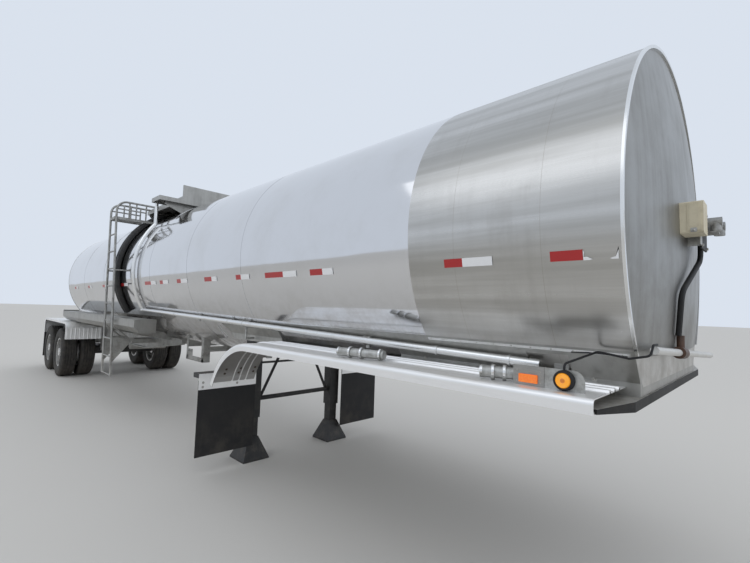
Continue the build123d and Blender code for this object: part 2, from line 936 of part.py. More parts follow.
def wheel_right(x, axis, outer_y, inner_y, hub_low, hub_high):
    """Hub, two rims back to back, and the dished disc between them."""
    z = tyre_radius
    middle = (outer_y + inner_y) / 2
    bore = spindle_radius + bearing_clearance
    wheel = rod_y(hub_radius, x, hub_low, hub_high - hub_inset, z)
    wheel += rod_y(hub_cap_radius, x, hub_high - hub_inset, hub_high, z)
    for y in (outer_y, inner_y):
        wheel += revolve(make_face(rim_outline(x, y)), axis, 360)
    join = rod_y(rim_radius, x, inner_y + rim_width / 2 - cut_margin, outer_y - rim_width / 2 + cut_margin, z)
    join -= rod_y(rim_radius - rim_wall, x, inner_y, outer_y, z)
    wheel += join
    outside = rim_radius - rim_wall + cut_margin
    disc = (
        # out from the axle, across from the middle of the pair
        (hub_radius - cut_margin, disc_rise),
        (hub_radius + disc_rise, disc_rise),
        (outside, disc_thickness),
        (outside, -disc_thickness),
        (hub_radius - cut_margin, -disc_thickness),
    )
    outline = Polyline(*[(x, middle + across, z + out) for out, across in disc], close=True)
    plate = revolve(make_face(outline), axis, 360)
    for index in range(hand_hole_count):
        a = 2 * pi * index / hand_hole_count
        across, up = hand_hole_circle * cos(a), hand_hole_circle * sin(a)
        plate -= rod_y(hand_hole_radius, x + across, inner_y, outer_y, z + up)
    wheel += plate
    return wheel - rod_y(bore, x, hub_low - cut_margin, hub_high - hub_inset, z)


def axles(hub_low, hub_high):
    """Axle beams with spindles, spring seats and brake chambers."""
    beams = []
    z = tyre_radius
    half = hub_low - hub_inner_gap
    tip = hub_high - hub_inset - hub_inner_gap
    for station in axle_stations:
        x = at(station)
        beam = rod_y(axle_radius, x, -half, half, z)
        beam += rod_y(spindle_radius, x, -tip, tip, z)
        for side in (-1, 1):
            y = side * spring_y
            beam += block(x - axle_radius, x + axle_radius, y - spring_width / 2, y + spring_width / 2,
                          z, z + axle_radius + spring_seat)
            y = side * chamber_y
            beam += block(x - chamber_offset, x, y - spring_seat, y + spring_seat,
                          z - spring_seat, z + spring_seat)
            beam += rod_x(chamber_radius, x - chamber_offset - chamber_length, x - chamber_offset, y, z)
        beams.append(beam)
    save("axles", *beams)


def leaf_strip(x, reach, rise, z, y_low, y_high):
    """One leaf, bent up towards both ends by the rise."""
    low = ThreePointArc((x - reach, y_high, z + rise), (x, y_high, z), (x + reach, y_high, z + rise))
    top = z + spring_leaf
    high = ThreePointArc((x - reach, y_high, top + rise), (x, y_high, top), (x + reach, y_high, top + rise))
    ends = [Line(low @ 0, high @ 0), Line(low @ 1, high @ 1)]
    return extrude(make_face([low, high] + ends), y_high - y_low, dir=(0, -1, 0))


def suspension():
    """Leaf springs on the axles, held by hangers under the rails."""
    springs = []
    seat_top = tyre_radius + axle_radius + spring_seat
    full = tandem_spread / 2 - hanger_tip_half
    for station in axle_stations:
        x = at(station)
        for side in (-1, 1):
            y = side * spring_y
            pack = None
            for leaf in range(spring_leaves):
                reach = full - leaf_step * (spring_leaves - 1 - leaf)
                rise = spring_arch * (reach / full) ** 2
                strip = leaf_strip(x, reach, rise, seat_top + spring_leaf * leaf,
                                   y - spring_width / 2, y + spring_width / 2)
                pack = strip if pack is None else pack + strip
            springs.append(pack)
    save("leaf_springs", *springs)


def rail(side):
    """One frame rail: web and flanges, with a nose that slopes up."""
    y = side * rail_y
    end = at(rear_end) + bumper_depth
    top = rail_top()
    low = top - rail_depth
    nose = top - rail_nose
    slope_end = at(rail_front + rail_slope)
    half = rail_flange / 2
    sheet = rail_flange_thickness
    web = [(at(rail_front), nose), (at(rail_front), top), (end, top), (end, low), (slope_end, low)]
    body = side_plate(web, y - rail_web / 2, y + rail_web / 2)
    body += block(end, at(rail_front), y - half, y + half, top - sheet, top)
    body += block(end, slope_end, y - half, y + half, low, low + sheet)
    tip = at(rail_front)
    slope = [(tip, nose), (tip, nose + sheet), (slope_end, low + sheet), (slope_end, low)]
    return body + side_plate(slope, y - half, y + half)


def rail_top():
    """Top of the frame rails, a gap under the jacket above them."""
    return surface_z(rail_y) - rail_gap


def hangers():
    """Tapered spring hangers under the rails, with a pad over each spring end."""
    seat_top = tyre_radius + axle_radius + spring_seat
    full = tandem_spread / 2 - hanger_tip_half
    top = rail_top() - rail_depth + rail_flange_thickness
    tip = seat_top - spring_seat
    pad = seat_top + spring_leaf * spring_leaves + spring_arch
    pieces = None
    for offset in (-tandem_spread / 2, tandem_spread / 2, tandem_spread * 1.5):
        x = at(axle_stations[0] + offset)
        for side in (-1, 1):
            y = side * spring_y
            for edge in (-1, 1):
                inner = y + edge * (spring_width / 2 + seat_gap)
                low, high = sorted((inner, inner + edge * hanger_cheek))
                cheek = side_plate(
                    [(x - hanger_top_half, top), (x + hanger_top_half, top),
                     (x + hanger_tip_half, tip), (x - hanger_tip_half, tip)],
                    low,
                    high,
                )
                pieces = cheek if pieces is None else pieces + cheek
            reach = tandem_spread / 2 - full + spring_leaf * 2
            half = spring_width / 2 + hanger_cheek
            pieces += block(x - reach, x + reach, y - half, y + half, pad, top)
    return pieces


def wing(x, outer, height):
    """A plate from the right-hand rail out to something at a height."""
    edge = rail_y + rail_flange / 2 - rail_web
    top = rail_top()
    bend = edge + rail_flange
    points = [
        (-edge, top - gusset_depth),
        (-edge, top),
        (-bend, height),
        (-outer, height),
        (-outer, height - gusset_depth),
        (-bend, top - gusset_depth),
    ]
    return cross_plate(points, x - gusset_thickness / 2, x + gusset_thickness / 2)


def subframe():
    """Rails, cross members, saddles, spring hangers, wings and air tank."""
    frame = rail(-1) + rail(1)
    high = belly - seam_proud - cross_gap
    for station in spread(rail_front + cross_first, rear_end - cross_last, cross_count):
        x = at(station)
        frame += block(x - cross_width / 2, x + cross_width / 2, -rail_y, rail_y, high - cross_depth, high)
    x = at(ladder_front + (ladder_rear - ladder_front) / 2)
    half = (ladder_rear - ladder_front) / 2 + foot_bar_size
    frame += block(x - half, x + half, -foot_bar_inner, rail_y, high - cross_depth, high)
    for station in spread(rail_front + saddle_first, jacket_length - outlet_lead, saddle_count):
        x = at(station)
        low = rail_top() - saddle_lap
        top = surface_z(saddle_half)
        outline = [(-saddle_half, low), (-saddle_half, top), (saddle_half, top), (saddle_half, low)]
        frame += cross_plate(outline, x - saddle_thickness / 2, x + saddle_thickness / 2) - tank_cutter()
    frame += hangers()
    under = rear_fender_top() - fender_sheet
    first, last = rear_fender_ends()
    for station in spread(first + rear_fender_radius * 1.5, last - rear_fender_radius * 1.5, 3):
        plate = wing(at(station), half_width - 2 * fender_sheet, under)
        frame += plate + mirror(plate, Plane.XZ)
    for station in spread(rail_front + saddle_first, rear_fender_ends()[0] - arm_inset, arm_count):
        frame += wing(at(station), carrier_outer() - carrier_chamfer, carrier_bottom())
    x = at(axle_stations[0] - air_tank_lead)
    z = high - cross_depth - air_tank_drop - air_tank_radius
    frame += rod_y(air_tank_radius, x, -air_tank_half, air_tank_half, z)
    for y in (-air_tank_half * 0.7, air_tank_half * 0.7):
        frame += block(x - gusset_depth, x + gusset_depth, y - gusset_depth, y + gusset_depth,
                       z, high - cross_depth / 2)
    frame += block(x - gusset_depth, x + gusset_depth, -rail_y, rail_y, high - cross_depth, high)
    save("subframe", frame)


def rear_fender_top():
    """Top of the rear fenders, a clearance over the tyres."""
    return 2 * tyre_radius + fender_clear


def rear_fender_ends():
    """Stations of the front and the rear of the rear fenders."""
    return axle_stations[0] - rear_fender_lead, axle_stations[1] + rear_fender_trail


def rear_fenders():
    """Fenders over the twin tyres, fluted in front, and the flaps behind."""
    first, last = rear_fender_ends()
    front = at(first)
    rear = at(last)
    top = rear_fender_top()
    low = top - rear_fender_drop
    body = block(rear, front, -half_width, -rear_fender_inner, low, top)
    body = fillet(body.edges().filter_by(Axis.Y).sort_by(Axis.Z)[-2:], rear_fender_radius)
    sheet = fender_sheet
    inside = block(rear + sheet, front - sheet, -half_width - cut_margin, cut_margin - rear_fender_inner,
                   low - cut_margin, top - sheet)
    inside = fillet(inside.edges().filter_by(Axis.Y).sort_by(Axis.Z)[-2:], rear_fender_radius - sheet)
    fender = body - inside
    skin = body - block(rear - cut_margin, front + cut_margin, -half_width + sheet, 0,
                        low - cut_margin, top + cut_margin)
    opening = block(rear + rear_fender_lip, front - rear_fender_lip, -half_width - cut_margin, 0,
                    low - cut_margin, top - rear_fender_lip)
    round_edges = opening.edges().filter_by(Axis.Y).sort_by(Axis.Z)[-2:]
    fender += skin - fillet(round_edges, rear_fender_radius - rear_fender_lip / 2)
    for y in spread(-half_width + flute_width, -rear_fender_inner - flute_width, flute_count):
        flute = block(front - sheet, front + flute_height, y - flute_width / 2, y + flute_width / 2,
                      low, top - rear_fender_radius)
        fender += chamfer(flute.edges().filter_by(Axis.Z).sort_by(Axis.X)[-2:], flute_height * 0.8)
    save("rear_fenders", *both_sides(fender))
    flap = block(rear, rear + flap_thickness, -half_width + sheet, -rear_fender_inner,
                 rear_flap_bottom, low + rear_flap_lap)
    flap = Pos(-flap_thickness, 0, 0) * flap
    save("rear_mud_flaps", *both_sides(flap))


def rear_gear():
    """Bumper, lamps and discharge pipe."""
    x = at(rear_end) + bumper_depth
    top = rail_top()
    bumper = block(at(rear_end), x, -bumper_half, bumper_half, bumper_bottom, bumper_bottom + bumper_height)
    half = bumper_post / 2
    for side in (-1, 1):
        y = side * rail_y
        bumper += block(x - bumper_post_depth, x, y - half, y + half, bumper_bottom, top)
    bar_top = top - lamp_bar_drop
    face = x - bumper_post_depth
    bumper += block(face, face + lamp_bar_sheet, -lamp_bar_half, lamp_bar_half,
                    bar_top - lamp_bar_height, bar_top)
    save("rear_bumper", bumper)
    lamps = []
    for y in tail_lamp_table:
        lamps.append(rod_x(tail_lamp_radius, face - tail_lamp_depth, face, y, bar_top - lamp_bar_height / 2))
    save("tail_lamps", *lamps)
    z = outlet_height
    start = jacket_length - outlet_lead
    end = jacket_length + outlet_trail
    flange = outlet_radius * 1.5
    pipe = rod_x(outlet_radius, at(end), at(start), 0, z)
    pipe += rod_z(flange, at(start), 0, z - outlet_radius, axis_height)
    pipe += rod_x(flange, at(end), at(end) + outlet_radius / 2, 0, z)
    pipe += rod_x(flange, at(end) + 4 * outlet_radius, at(end) + 4.5 * outlet_radius, 0, z)
    pipe += rod_x(adapter_radius, at(end) - adapter_length, at(end), 0, z)
    last_cross = spread(rail_front + cross_first, rear_end - cross_last, cross_count)[-2]
    strap = gusset_depth / 2
    high = belly - seam_proud - cross_gap - cross_depth
    pipe += block(at(last_cross) - strap, at(last_cross) + strap, -gusset_depth, gusset_depth, z, high)
    save("discharge_pipe", pipe - tank_cutter_behind())


def tank_cutter_behind():
    """The jacket's round body alone, for the outlet that comes out of it."""
    return tank_cylinder(at(jacket_length), at(front_section), tank_radius)


def landing_height():
    """Top of the landing, a drop below the deck."""
    return tank_top + deck_rise - landing_drop


def handrail_height():
    """Height of the handrails, which end lying on the deck."""
    return tank_top + deck_rise + ladder_tube + seat_gap


def ladder_rail(station, foot_station):
    """One rail: leans out to the landing, then bends in as the handrail."""
    foot = (at(foot_station), -ladder_foot_y, ladder_foot)
    knee = (at(station), -ladder_y, landing_height())
    corner = (at(station), -ladder_y, handrail_height())
    end = (at(station), handrail_lap - deck_half, handrail_height())
    path = FilletPolyline(foot, knee, corner, end, radius=[landing_depth, handrail_bend])
    plane = Plane(origin=foot, z_dir=path % 0)
    return sweep(plane * Circle(ladder_tube), path)


def ladder():
    """Ladder with its standoffs and foot bracket, and the landing's rails."""
    rails = ((ladder_front, ladder_front - ladder_flare), (ladder_rear, ladder_rear))
    parts = ladder_rail(*rails[0]) + ladder_rail(*rails[1])
    rise = landing_height() - ladder_foot

    def share_at(z):
        return (z - ladder_foot) / rise

    def rail_x(station, foot_station, z):
        return at(foot_station + (station - foot_station) * share_at(z))

    def rail_side(z):
        return -ladder_foot_y - (ladder_y - ladder_foot_y) * share_at(z)

    count = int((rise - landing_depth) / rung_pitch) + 1
    for index in range(count):
        z = ladder_foot + rung_radius + index * rung_pitch
        parts += rod_x(rung_radius, rail_x(*rails[1], z), rail_x(*rails[0], z), rail_side(z), z)
    middle = (ladder_front + ladder_rear) / 2
    for station, foot_station in rails:
        x = at(station)
        inset = post_inset if station > middle else -post_inset
        for y in post_table:
            parts += rod_z(post_radius, x + inset, -y, landing_height() + seat_gap, handrail_height())
        rail_z = (landing_height() + handrail_height()) / 2
        parts += rod_y(post_radius, x, -ladder_y, -post_table[-1], rail_z)
        z = axis_height + standoff_lift
        side = ring_y(tank_radius, z) - seat_gap
        parts += rod_y(rung_radius, rail_x(station, foot_station, z), rail_side(z), side, z)
        z = foot_bar_height
        x = rail_x(station, foot_station, z)
        half = foot_bar_size / 2
        parts += block(x - half, x + half, rail_side(z), -foot_bar_inner, z - half, z + half)
        high = z + foot_brace_rise
        parts += bar_between(rung_radius, (rail_x(station, foot_station, high), rail_side(high), high),
                             (x, -foot_brace_inner, z))
        outer = rail_side(z) + ladder_tube
        gusset = [(outer, z), (-foot_bar_inner, z), (outer, foot_gusset_low)]
        parts += cross_plate(gusset, x - gusset_thickness / 2, x + gusset_thickness / 2)
    save("ladder", parts)


def landing():
    """Grated landing between the ladder and the tank."""
    x_low = at(ladder_rear) + ladder_tube + seat_gap
    x_high = at(ladder_front) - ladder_tube - seat_gap
    outer = -ladder_y - ladder_tube
    high = landing_height()
    low = high - landing_depth
    deck = block(x_low, x_high, outer, -landing_inner, low, high)
    rim = landing_depth / 4
    deck -= block(x_low + rim, x_high - rim, outer + rim, -landing_inner - rim,
                  low - cut_margin, high + cut_margin)
    for x in spread(x_low + landing_depth, x_high - landing_depth, grate_bars):
        deck += block(x - grate_bar / 2, x + grate_bar / 2, outer, -landing_inner, low + rim, high)
    for x in (x_low, x_high - rim):
        tie = block(x, x + rim, -landing_inner - rim, -landing_inner / 2, low, high) - tank_cutter()
        deck += tie.solids().sort_by(Axis.Y)[0]
    save("side_platform", deck)


def hand_loop():
    """A bent grip on the right edge of the deck's wing."""
    high = tank_top + deck_rise
    x_low = at(deck_front + wing_length - loop_bend)
    low = high - loop_low
    top = low + loop_height
    y = -wing_half - loop_radius
    points = [
        (x_low, y, low),
        (x_low, y, top),
        (x_low + loop_length, y, top),
        (x_low + loop_length, y, low),
    ]
    path = FilletPolyline(*points, radius=loop_bend)
    return sweep(Plane(origin=points[0], z_dir=(0, 0, 1)) * Circle(loop_radius), path)


def top_deck():
    """Deck over the manway: wide in front, with hems, skirts and a guard."""
    high = tank_top + deck_rise
    front = at(deck_front)
    rear = at(deck_rear)
    wing_rear = at(deck_front + wing_length)
    plan = [
        (rear, -deck_half),
        (wing_rear, -deck_half),
        (wing_rear, -wing_half),
        (front, -wing_half),
        (front, wing_half),
        (wing_rear, wing_half),
        (wing_rear, deck_half),
        (rear, deck_half),
    ]
    deck = level_plate(plan, high - deck_sheet, high)
    for x_low, x_high, half in ((wing_rear, front, wing_half), (rear, wing_rear, deck_half)):
        for y in (-half, half - deck_sheet):
            deck += block(x_low, x_high, y, y + deck_sheet, high - deck_hem, high)
    for x, half in ((front - deck_sheet, wing_half), (wing_rear, wing_half), (rear, deck_half)):
        deck += block(x, x + deck_sheet, -half, half, high - deck_hem, high)
    for x, half in ((front - skirt_inset, wing_half - skirt_inset), (rear + skirt_inset, deck_half)):
        skirt = [
            (-half, high),
            (-half, high - skirt_edge),
            (-skirt_foot, high - skirt_depth),
            (skirt_foot, high - skirt_depth),
            (half, high - skirt_edge),
            (half, high),
        ]
        deck += cross_plate(skirt, x, x + deck_sheet)
    deck -= tank_cutter()
    deck -= rod_z(manway_bore + manway_wall + seat_gap, at(manway_station), 0, axis_height, high + cut_margin)
    wall = spill_wall
    top = high + spill_height
    spill = block(rear, front, -spill_half, spill_half, high, high + spill_side)
    spill -= block(rear + wall, front - wall, -spill_half + wall, spill_half - wall, high, top)
    guard = block(front - wall, front, -spill_half, spill_half, high, top)
    guard += block(front - spill_fold, front, -spill_half, spill_half, top - wall, top)
    for y in (-spill_half, spill_half - wall):
        guard += block(front - spill_fold, front, y, y + wall, high, top)
    pieces = (deck + spill + guard + hand_loop()).solids().sort_by(lambda solid: solid.volume)
    save("spill_box", pieces[-1])


def manway():
    """Manway collar with hinge lugs, and its lid."""
    x = at(manway_station)
    top = tank_top + manway_rise
    collar = rod_z(manway_bore + manway_wall, x, 0, axis_height, top)
    hinge_x = x - hinge_reach
    hinge_z = top + lid_gap + lid_thickness / 2
    shelf = top - lid_skirt - lug_drop
    root = x - manway_bore * 0.8
    clear = x - lid_radius - lug_drop
    for side in (-1, 1):
        low, high = sorted((side * hinge_half, side * (hinge_half + lug_thickness)))
        lug = [
            (hinge_x - hinge_barrel, shelf - lug_depth),
            (root, shelf - lug_depth),
            (root, shelf),
            (clear, shelf),
            (clear, hinge_z + hinge_barrel),
            (hinge_x - hinge_barrel, hinge_z + hinge_barrel),
        ]
        collar += side_plate(lug, low, high)
    collar -= rod_z(manway_bore, x, 0, axis_height - cut_margin, top + cut_margin)
    collar -= tank_cutter()
    collar += rod_y(hinge_pin, hinge_x, -hinge_half - lug_thickness, hinge_half + lug_thickness, hinge_z)
    save("manway_collar", collar)
    lid = rod_z(lid_radius, x, 0, top - lid_skirt, top + lid_gap + lid_thickness)
    lid -= rod_z(lid_radius - lid_rim, x, 0, top - lid_skirt - cut_margin, top + lid_gap)
    barrel = hinge_half - hinge_side_gap
    lid += rod_y(hinge_barrel, hinge_x, -barrel, barrel, hinge_z)
    leaf = lid_thickness / 2
    lid += block(hinge_x, x - lid_radius + lid_rim, -barrel, barrel, hinge_z - leaf, hinge_z + leaf)
    lid -= rod_y(hinge_pin + hinge_clearance, hinge_x, -hinge_half, hinge_half, hinge_z)
    save("manway_lid", lid)


def top_strip():
    """Raised strip along the top of the tank in front of the deck."""
    low = axis_height + sqrt(tank_radius**2 - strip_half**2) - strip_height
    strip = block(at(deck_front), at(strip_front), -strip_half, strip_half, low, tank_top + strip_height)
    save("top_strip", strip - jacket_body())


def carrier_bottom():
    """Underside of the hose carrier, a gap over the rear fender."""
    return rear_fender_top() + carrier_clear


def carrier_inner():
    """Distance of the carrier's inner wall from the middle."""
    return carrier_gap - ring_y(tank_radius, carrier_bottom() + carrier_height)


def carrier_outer():
    """Distance of the carrier's outer wall from the middle."""
    return carrier_inner() + carrier_width


def carrier_outline(grow, top_gap=0.0):
    """Section of the hose carrier, its walls moved in by minus the growth."""
    top = carrier_bottom() + carrier_height + grow - top_gap
    low = carrier_bottom() - grow
    outer = -carrier_outer() - grow
    inner = -carrier_inner() + grow
    slant = grow * tan(pi / 8)
    return [
        (inner, low),
        (inner, top),
        (outer, top),
        (outer, low + carrier_chamfer + slant + grow),
        (outer + carrier_chamfer + slant + grow, low),
    ]


def hose_carrier():
    """Closed-front box for hoses on the right-hand side, with an end door."""
    top = carrier_bottom() + carrier_height
    rear = at(carrier_rear)
    outer = -carrier_outer()
    inner = -carrier_inner()
    box = cross_plate(carrier_outline(0), rear, at(carrier_front))
    box -= cross_plate(carrier_outline(-carrier_wall), rear - cut_margin, at(carrier_front) - carrier_wall)
    lip = carrier_lip
    box += block(rear, at(carrier_front), outer - lip, outer + cut_margin, top - lip, top)
    x = rear - door_gap
    pin_x = x - door_thickness / 2
    pin_z = top + door_hinge_lift
    for low in (outer, inner - door_lug):
        box += block(pin_x - door_barrel, rear + 2 * door_lug, low, low + door_lug, top, pin_z + door_barrel)
    box += rod_y(door_pin, pin_x, outer, inner, pin_z)
    save("hose_carrier", box)
    low = outer + door_lug + door_side_gap
    high = inner - door_lug - door_side_gap
    door = cross_plate(carrier_outline(0, door_top_gap), x - door_thickness, x)
    door += block(x - door_thickness, x, low, high, top - door_top_gap - cut_margin, pin_z)
    door += rod_y(door_barrel, pin_x, low, high, pin_z)
    door -= rod_y(door_pin + hinge_clearance, pin_x, outer, inner, pin_z)
    save("carrier_door", door)


def head_fittings():
    """Document box, coupling bracket and conduits on the front head."""
    x = at(0)
    dome = head_dome(x, 1, head_bulge)
    reach = head_bulge + box_depth
    low = axis_height - box_drop
    box = block(x, x + reach, -box_y - box_width / 2, -box_y + box_width / 2, low, low + box_height)
    box = fillet(box.edges().filter_by(Axis.X), fender_shoulder / 2)
    save("paper_box", (box - dome).solids().sort_by(Axis.X)[-1])
    low = axis_height - bracket_drop
    high = low + bracket_height
    plate_x = x + head_bulge + fender_lip
    bracket = block(x, plate_x, -bracket_right, bracket_left, high - bracket_sheet, high)
    bracket += block(plate_x - bracket_sheet, plate_x, -bracket_right, bracket_left, low, high)
    middle = (low + high) / 2
    socket_y = (bracket_left - bracket_right) / 2
    nose = x + front_overhang
    bracket += rod_x(socket_radius, plate_x - bracket_sheet, plate_x + 2 * socket_radius, socket_y, middle)
    for y in (-bracket_right / 2, bracket_left - bracket_right / 2):
        bracket += rod_x(gladhand_radius, plate_x - bracket_sheet, nose, y, middle + gladhand_radius)
        bracket += rod_z(gladhand_radius, nose - gladhand_radius, y,
                         middle - gladhand_radius, middle + gladhand_radius)
    bracket -= dome
    bracket = bracket.solids().sort_by(lambda solid: solid.volume)[-1]
    for shift in (0, 1):
        points = []
        for reach, y, height in head_hose_route:
            points.append((x + reach, y + shift * head_hose_pitch, axis_height + height))
        path = FilletPolyline(*points, radius=head_hose_bend)
        bracket += sweep(Plane(origin=points[0], z_dir=(0, 0, -1)) * Circle(conduit_radius), path)
    save("coupling_bracket", bracket)


def atan_of(rise, run):
    """Angle in radians whose tangent is the rise over the run."""
    return asin(rise / sqrt(rise**2 + run**2))


os.makedirs("parts", exist_ok=True)
tank()
front_support()
coupler()
front_fenders()
fender_fittings()
side_lines()
landing_gear()
wheel_ends()
suspension()
subframe()
rear_fenders()
rear_gear()
ladder()
landing()
top_deck()
manway()
top_strip()
hose_carrier()
head_fittings()
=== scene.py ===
"""Dresses a tank semi-trailer: polished jacket, tape, tyres, lamps, lines and a plain studio."""

from math import cos, pi, radians, sin, sqrt

import bmesh
import bpy
from mathutils import Matrix, Vector


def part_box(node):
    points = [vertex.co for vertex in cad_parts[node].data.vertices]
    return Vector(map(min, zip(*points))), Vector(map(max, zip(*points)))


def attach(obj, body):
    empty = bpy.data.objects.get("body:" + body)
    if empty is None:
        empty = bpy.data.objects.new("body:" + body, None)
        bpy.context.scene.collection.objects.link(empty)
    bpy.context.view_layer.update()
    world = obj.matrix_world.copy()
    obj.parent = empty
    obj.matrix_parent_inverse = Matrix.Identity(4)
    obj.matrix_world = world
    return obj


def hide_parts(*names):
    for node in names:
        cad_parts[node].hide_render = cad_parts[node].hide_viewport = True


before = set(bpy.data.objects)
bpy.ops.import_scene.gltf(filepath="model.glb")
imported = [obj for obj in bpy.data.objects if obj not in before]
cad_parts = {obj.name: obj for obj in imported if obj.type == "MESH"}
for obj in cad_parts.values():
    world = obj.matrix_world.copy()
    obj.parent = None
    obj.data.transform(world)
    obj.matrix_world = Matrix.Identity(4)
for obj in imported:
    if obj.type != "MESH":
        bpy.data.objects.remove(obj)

bl_info = {
    "name": "Tank Trailer Dressing",
    "version": (1, 0, 0),
    "blender": (4, 5, 0),
    "location": "View3D > Sidebar > Trailer",
    "description": "Finishes and fittings for a tank semi-trailer",
    "category": "Object",
}

RIGHT, UP, AHEAD, BACK = (0, -1, 0), (0, 0, 1), (1, 0, 0), (-1, 0, 0)
BODY = "trailer"
JACKET_LOW, JACKET_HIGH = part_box("tank_main_jacket")
FRONT_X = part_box("tank_front_jacket")[1].x
AXIS_Z = (JACKET_LOW.z + JACKET_HIGH.z) / 2
SEAM_PROUD = 0.002
TANK_RADIUS = (JACKET_HIGH.z - JACKET_LOW.z) / 2 - SEAM_PROUD
SHEET_RADIUS = TANK_RADIUS + SEAM_PROUD
SKIN = 0.0012
DARK_OXIDE, STAIN, JET = (0.24, 0.235, 0.22), (0.58, 0.56, 0.52), (0.009, 0.009, 0.009)
FENDER_TOP = 1.32
WALL_OUT = (0, -0.892, -0.452)
PLATE_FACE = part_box("marker_plates")[0].y
LAMP_PLACE = (6.10, PLATE_FACE, FENDER_TOP + 0.044)
ENDS = [(axle, side) for axle in ("front", "rear") for side in ("right", "left")]


def at(station):
    """X in metres of a distance behind the front edge of the jacket."""
    return FRONT_X - station


def tank_height(side):
    """Height of the tank's underside at a distance from the middle."""
    return AXIS_Z - sqrt(TANK_RADIUS**2 - side**2)


def tank_side(height, radius):
    """Distance of the tank's side from its middle at a height."""
    return sqrt(radius**2 - (height - AXIS_Z) ** 2)


def colour(name, text, default):
    """A colour setting."""
    return bpy.props.FloatVectorProperty(name=name, description=text, default=default, subtype="COLOR")


def number(name, text, default, **limits):
    """A number setting with its unit and limits."""
    return bpy.props.FloatProperty(name=name, description=text, default=default, **limits)


class TrailerColours(bpy.types.PropertyGroup):
    """Paints, rubbers and metals."""
    mirror: colour("Mirror jacket", "Tint of the polished sheet", (0.71, 0.71, 0.72))
    brushed: colour("Brushed jacket", "Tint of the dull front sheet", (0.60, 0.59, 0.57))
    # The heads' dull grey is darkened as painted shade.
    head: colour("Heads", "Tint of the dull head sheet", (0.35, 0.35, 0.34))
    fender: colour("Fender", "Bright fender sheet", (0.90, 0.90, 0.90))
    sheet: colour("Weathered sheet", "Support box, deck and hose carrier", (0.43, 0.425, 0.405))
    black: colour("Black steel", "Legs, coupler plate and springs", (0.022, 0.022, 0.023))
    rubber: colour("Tyre rubber", "Tyres", (0.026, 0.025, 0.024))
    dust: colour("Dust", "Road dust on everything low", (0.42, 0.36, 0.29))
    amber: colour("Amber", "Marker lamps", (0.95, 0.36, 0.02))
    orange: colour("Orange", "Side reflectors", (1.0, 0.16, 0.01))
    red: colour("Tape red", "Red half of the tape and the tail lamps", (0.42, 0.008, 0.010))
    white: colour("Tape white", "White half of the tape", (0.82, 0.83, 0.85))
    beige: colour("Document box", "Sun-bleached plastic", (0.66, 0.60, 0.45))


class TrailerSizes(bpy.types.PropertyGroup):
    """Sizes of what is added to the solids."""
    tape_height: number("Tape height", "Width of the tape round the tank", 0.046, unit="LENGTH")
    tape_line: number("Tape line", "Height of the tape's middle above the ground", 1.904, unit="LENGTH")
    tread_depth: number("Tread depth", "Depth of the tyres' grooves", 0.011, unit="LENGTH")
    nut_radius: number("Wheel nut", "Across corners, halved", 0.019, unit="LENGTH")
    wave: number("Jacket wave", "Strength of the shallow waves in the sheet", 0.5, min=0.0, max=2.0)


class TrailerStudio(bpy.types.PropertyGroup):
    """Floor, lights and camera."""
    floor: colour("Floor", "Plain pale floor", (0.60, 0.59, 0.57))
    sky: colour("Backdrop", "Pale backdrop as the camera and the metal see it", (0.70, 0.76, 0.85))
    fill: number("Fill", "Strength of the even light", 0.92, min=0.0, max=3.0)
    key: number("Key", "Power of the large overhead light in watts", 170.0, min=0.0, unit="POWER")
    lens: number("Lens", "Focal length in millimetres on a 36 mm sensor", 20.07, min=1.0, unit="CAMERA")


class Value:
    """A socket of a finish, with arithmetic that adds Math nodes."""

    def __init__(self, finish, socket):
        self.finish = finish
        self.socket = socket

    def _math(self, operation, *values, clamp=False):
        settings = {"operation": operation, "use_clamp": clamp}
        return self.finish.node("ShaderNodeMath", settings, dict(enumerate(values)))

    def __add__(self, other):
        return self._math("ADD", self, other)

    def __sub__(self, other):
        return self._math("SUBTRACT", self, other)

    def __rsub__(self, other):
        return self._math("SUBTRACT", other, self)

    def __mul__(self, other):
        return self._math("MULTIPLY", self, other)

    def __gt__(self, other):
        return self._math("GREATER_THAN", self, other)

    def __lt__(self, other):
        return self._math("LESS_THAN", self, other)

    def clamped(self):
        return self._math("ADD", self, 0.0, clamp=True)

    def sine(self):
        return self._math("SINE", self)

    def absolute(self):
        return self._math("ABSOLUTE", self)

    def ramp(self, low, high):
        """0 below low and 1 above high, smooth between."""
        values = {"Value": self, "From Min": low, "From Max": high}
        return self.finish.node("ShaderNodeMapRange", {"interpolation_type": "SMOOTHSTEP"}, values)

    def near(self, place, half, soft=0.001):
        """1 within a distance of a place, and 0 beyond it."""
        return 1.0 - (self - place).absolute().ramp(half, half + soft)

    __radd__ = __add__
    __rmul__ = __mul__


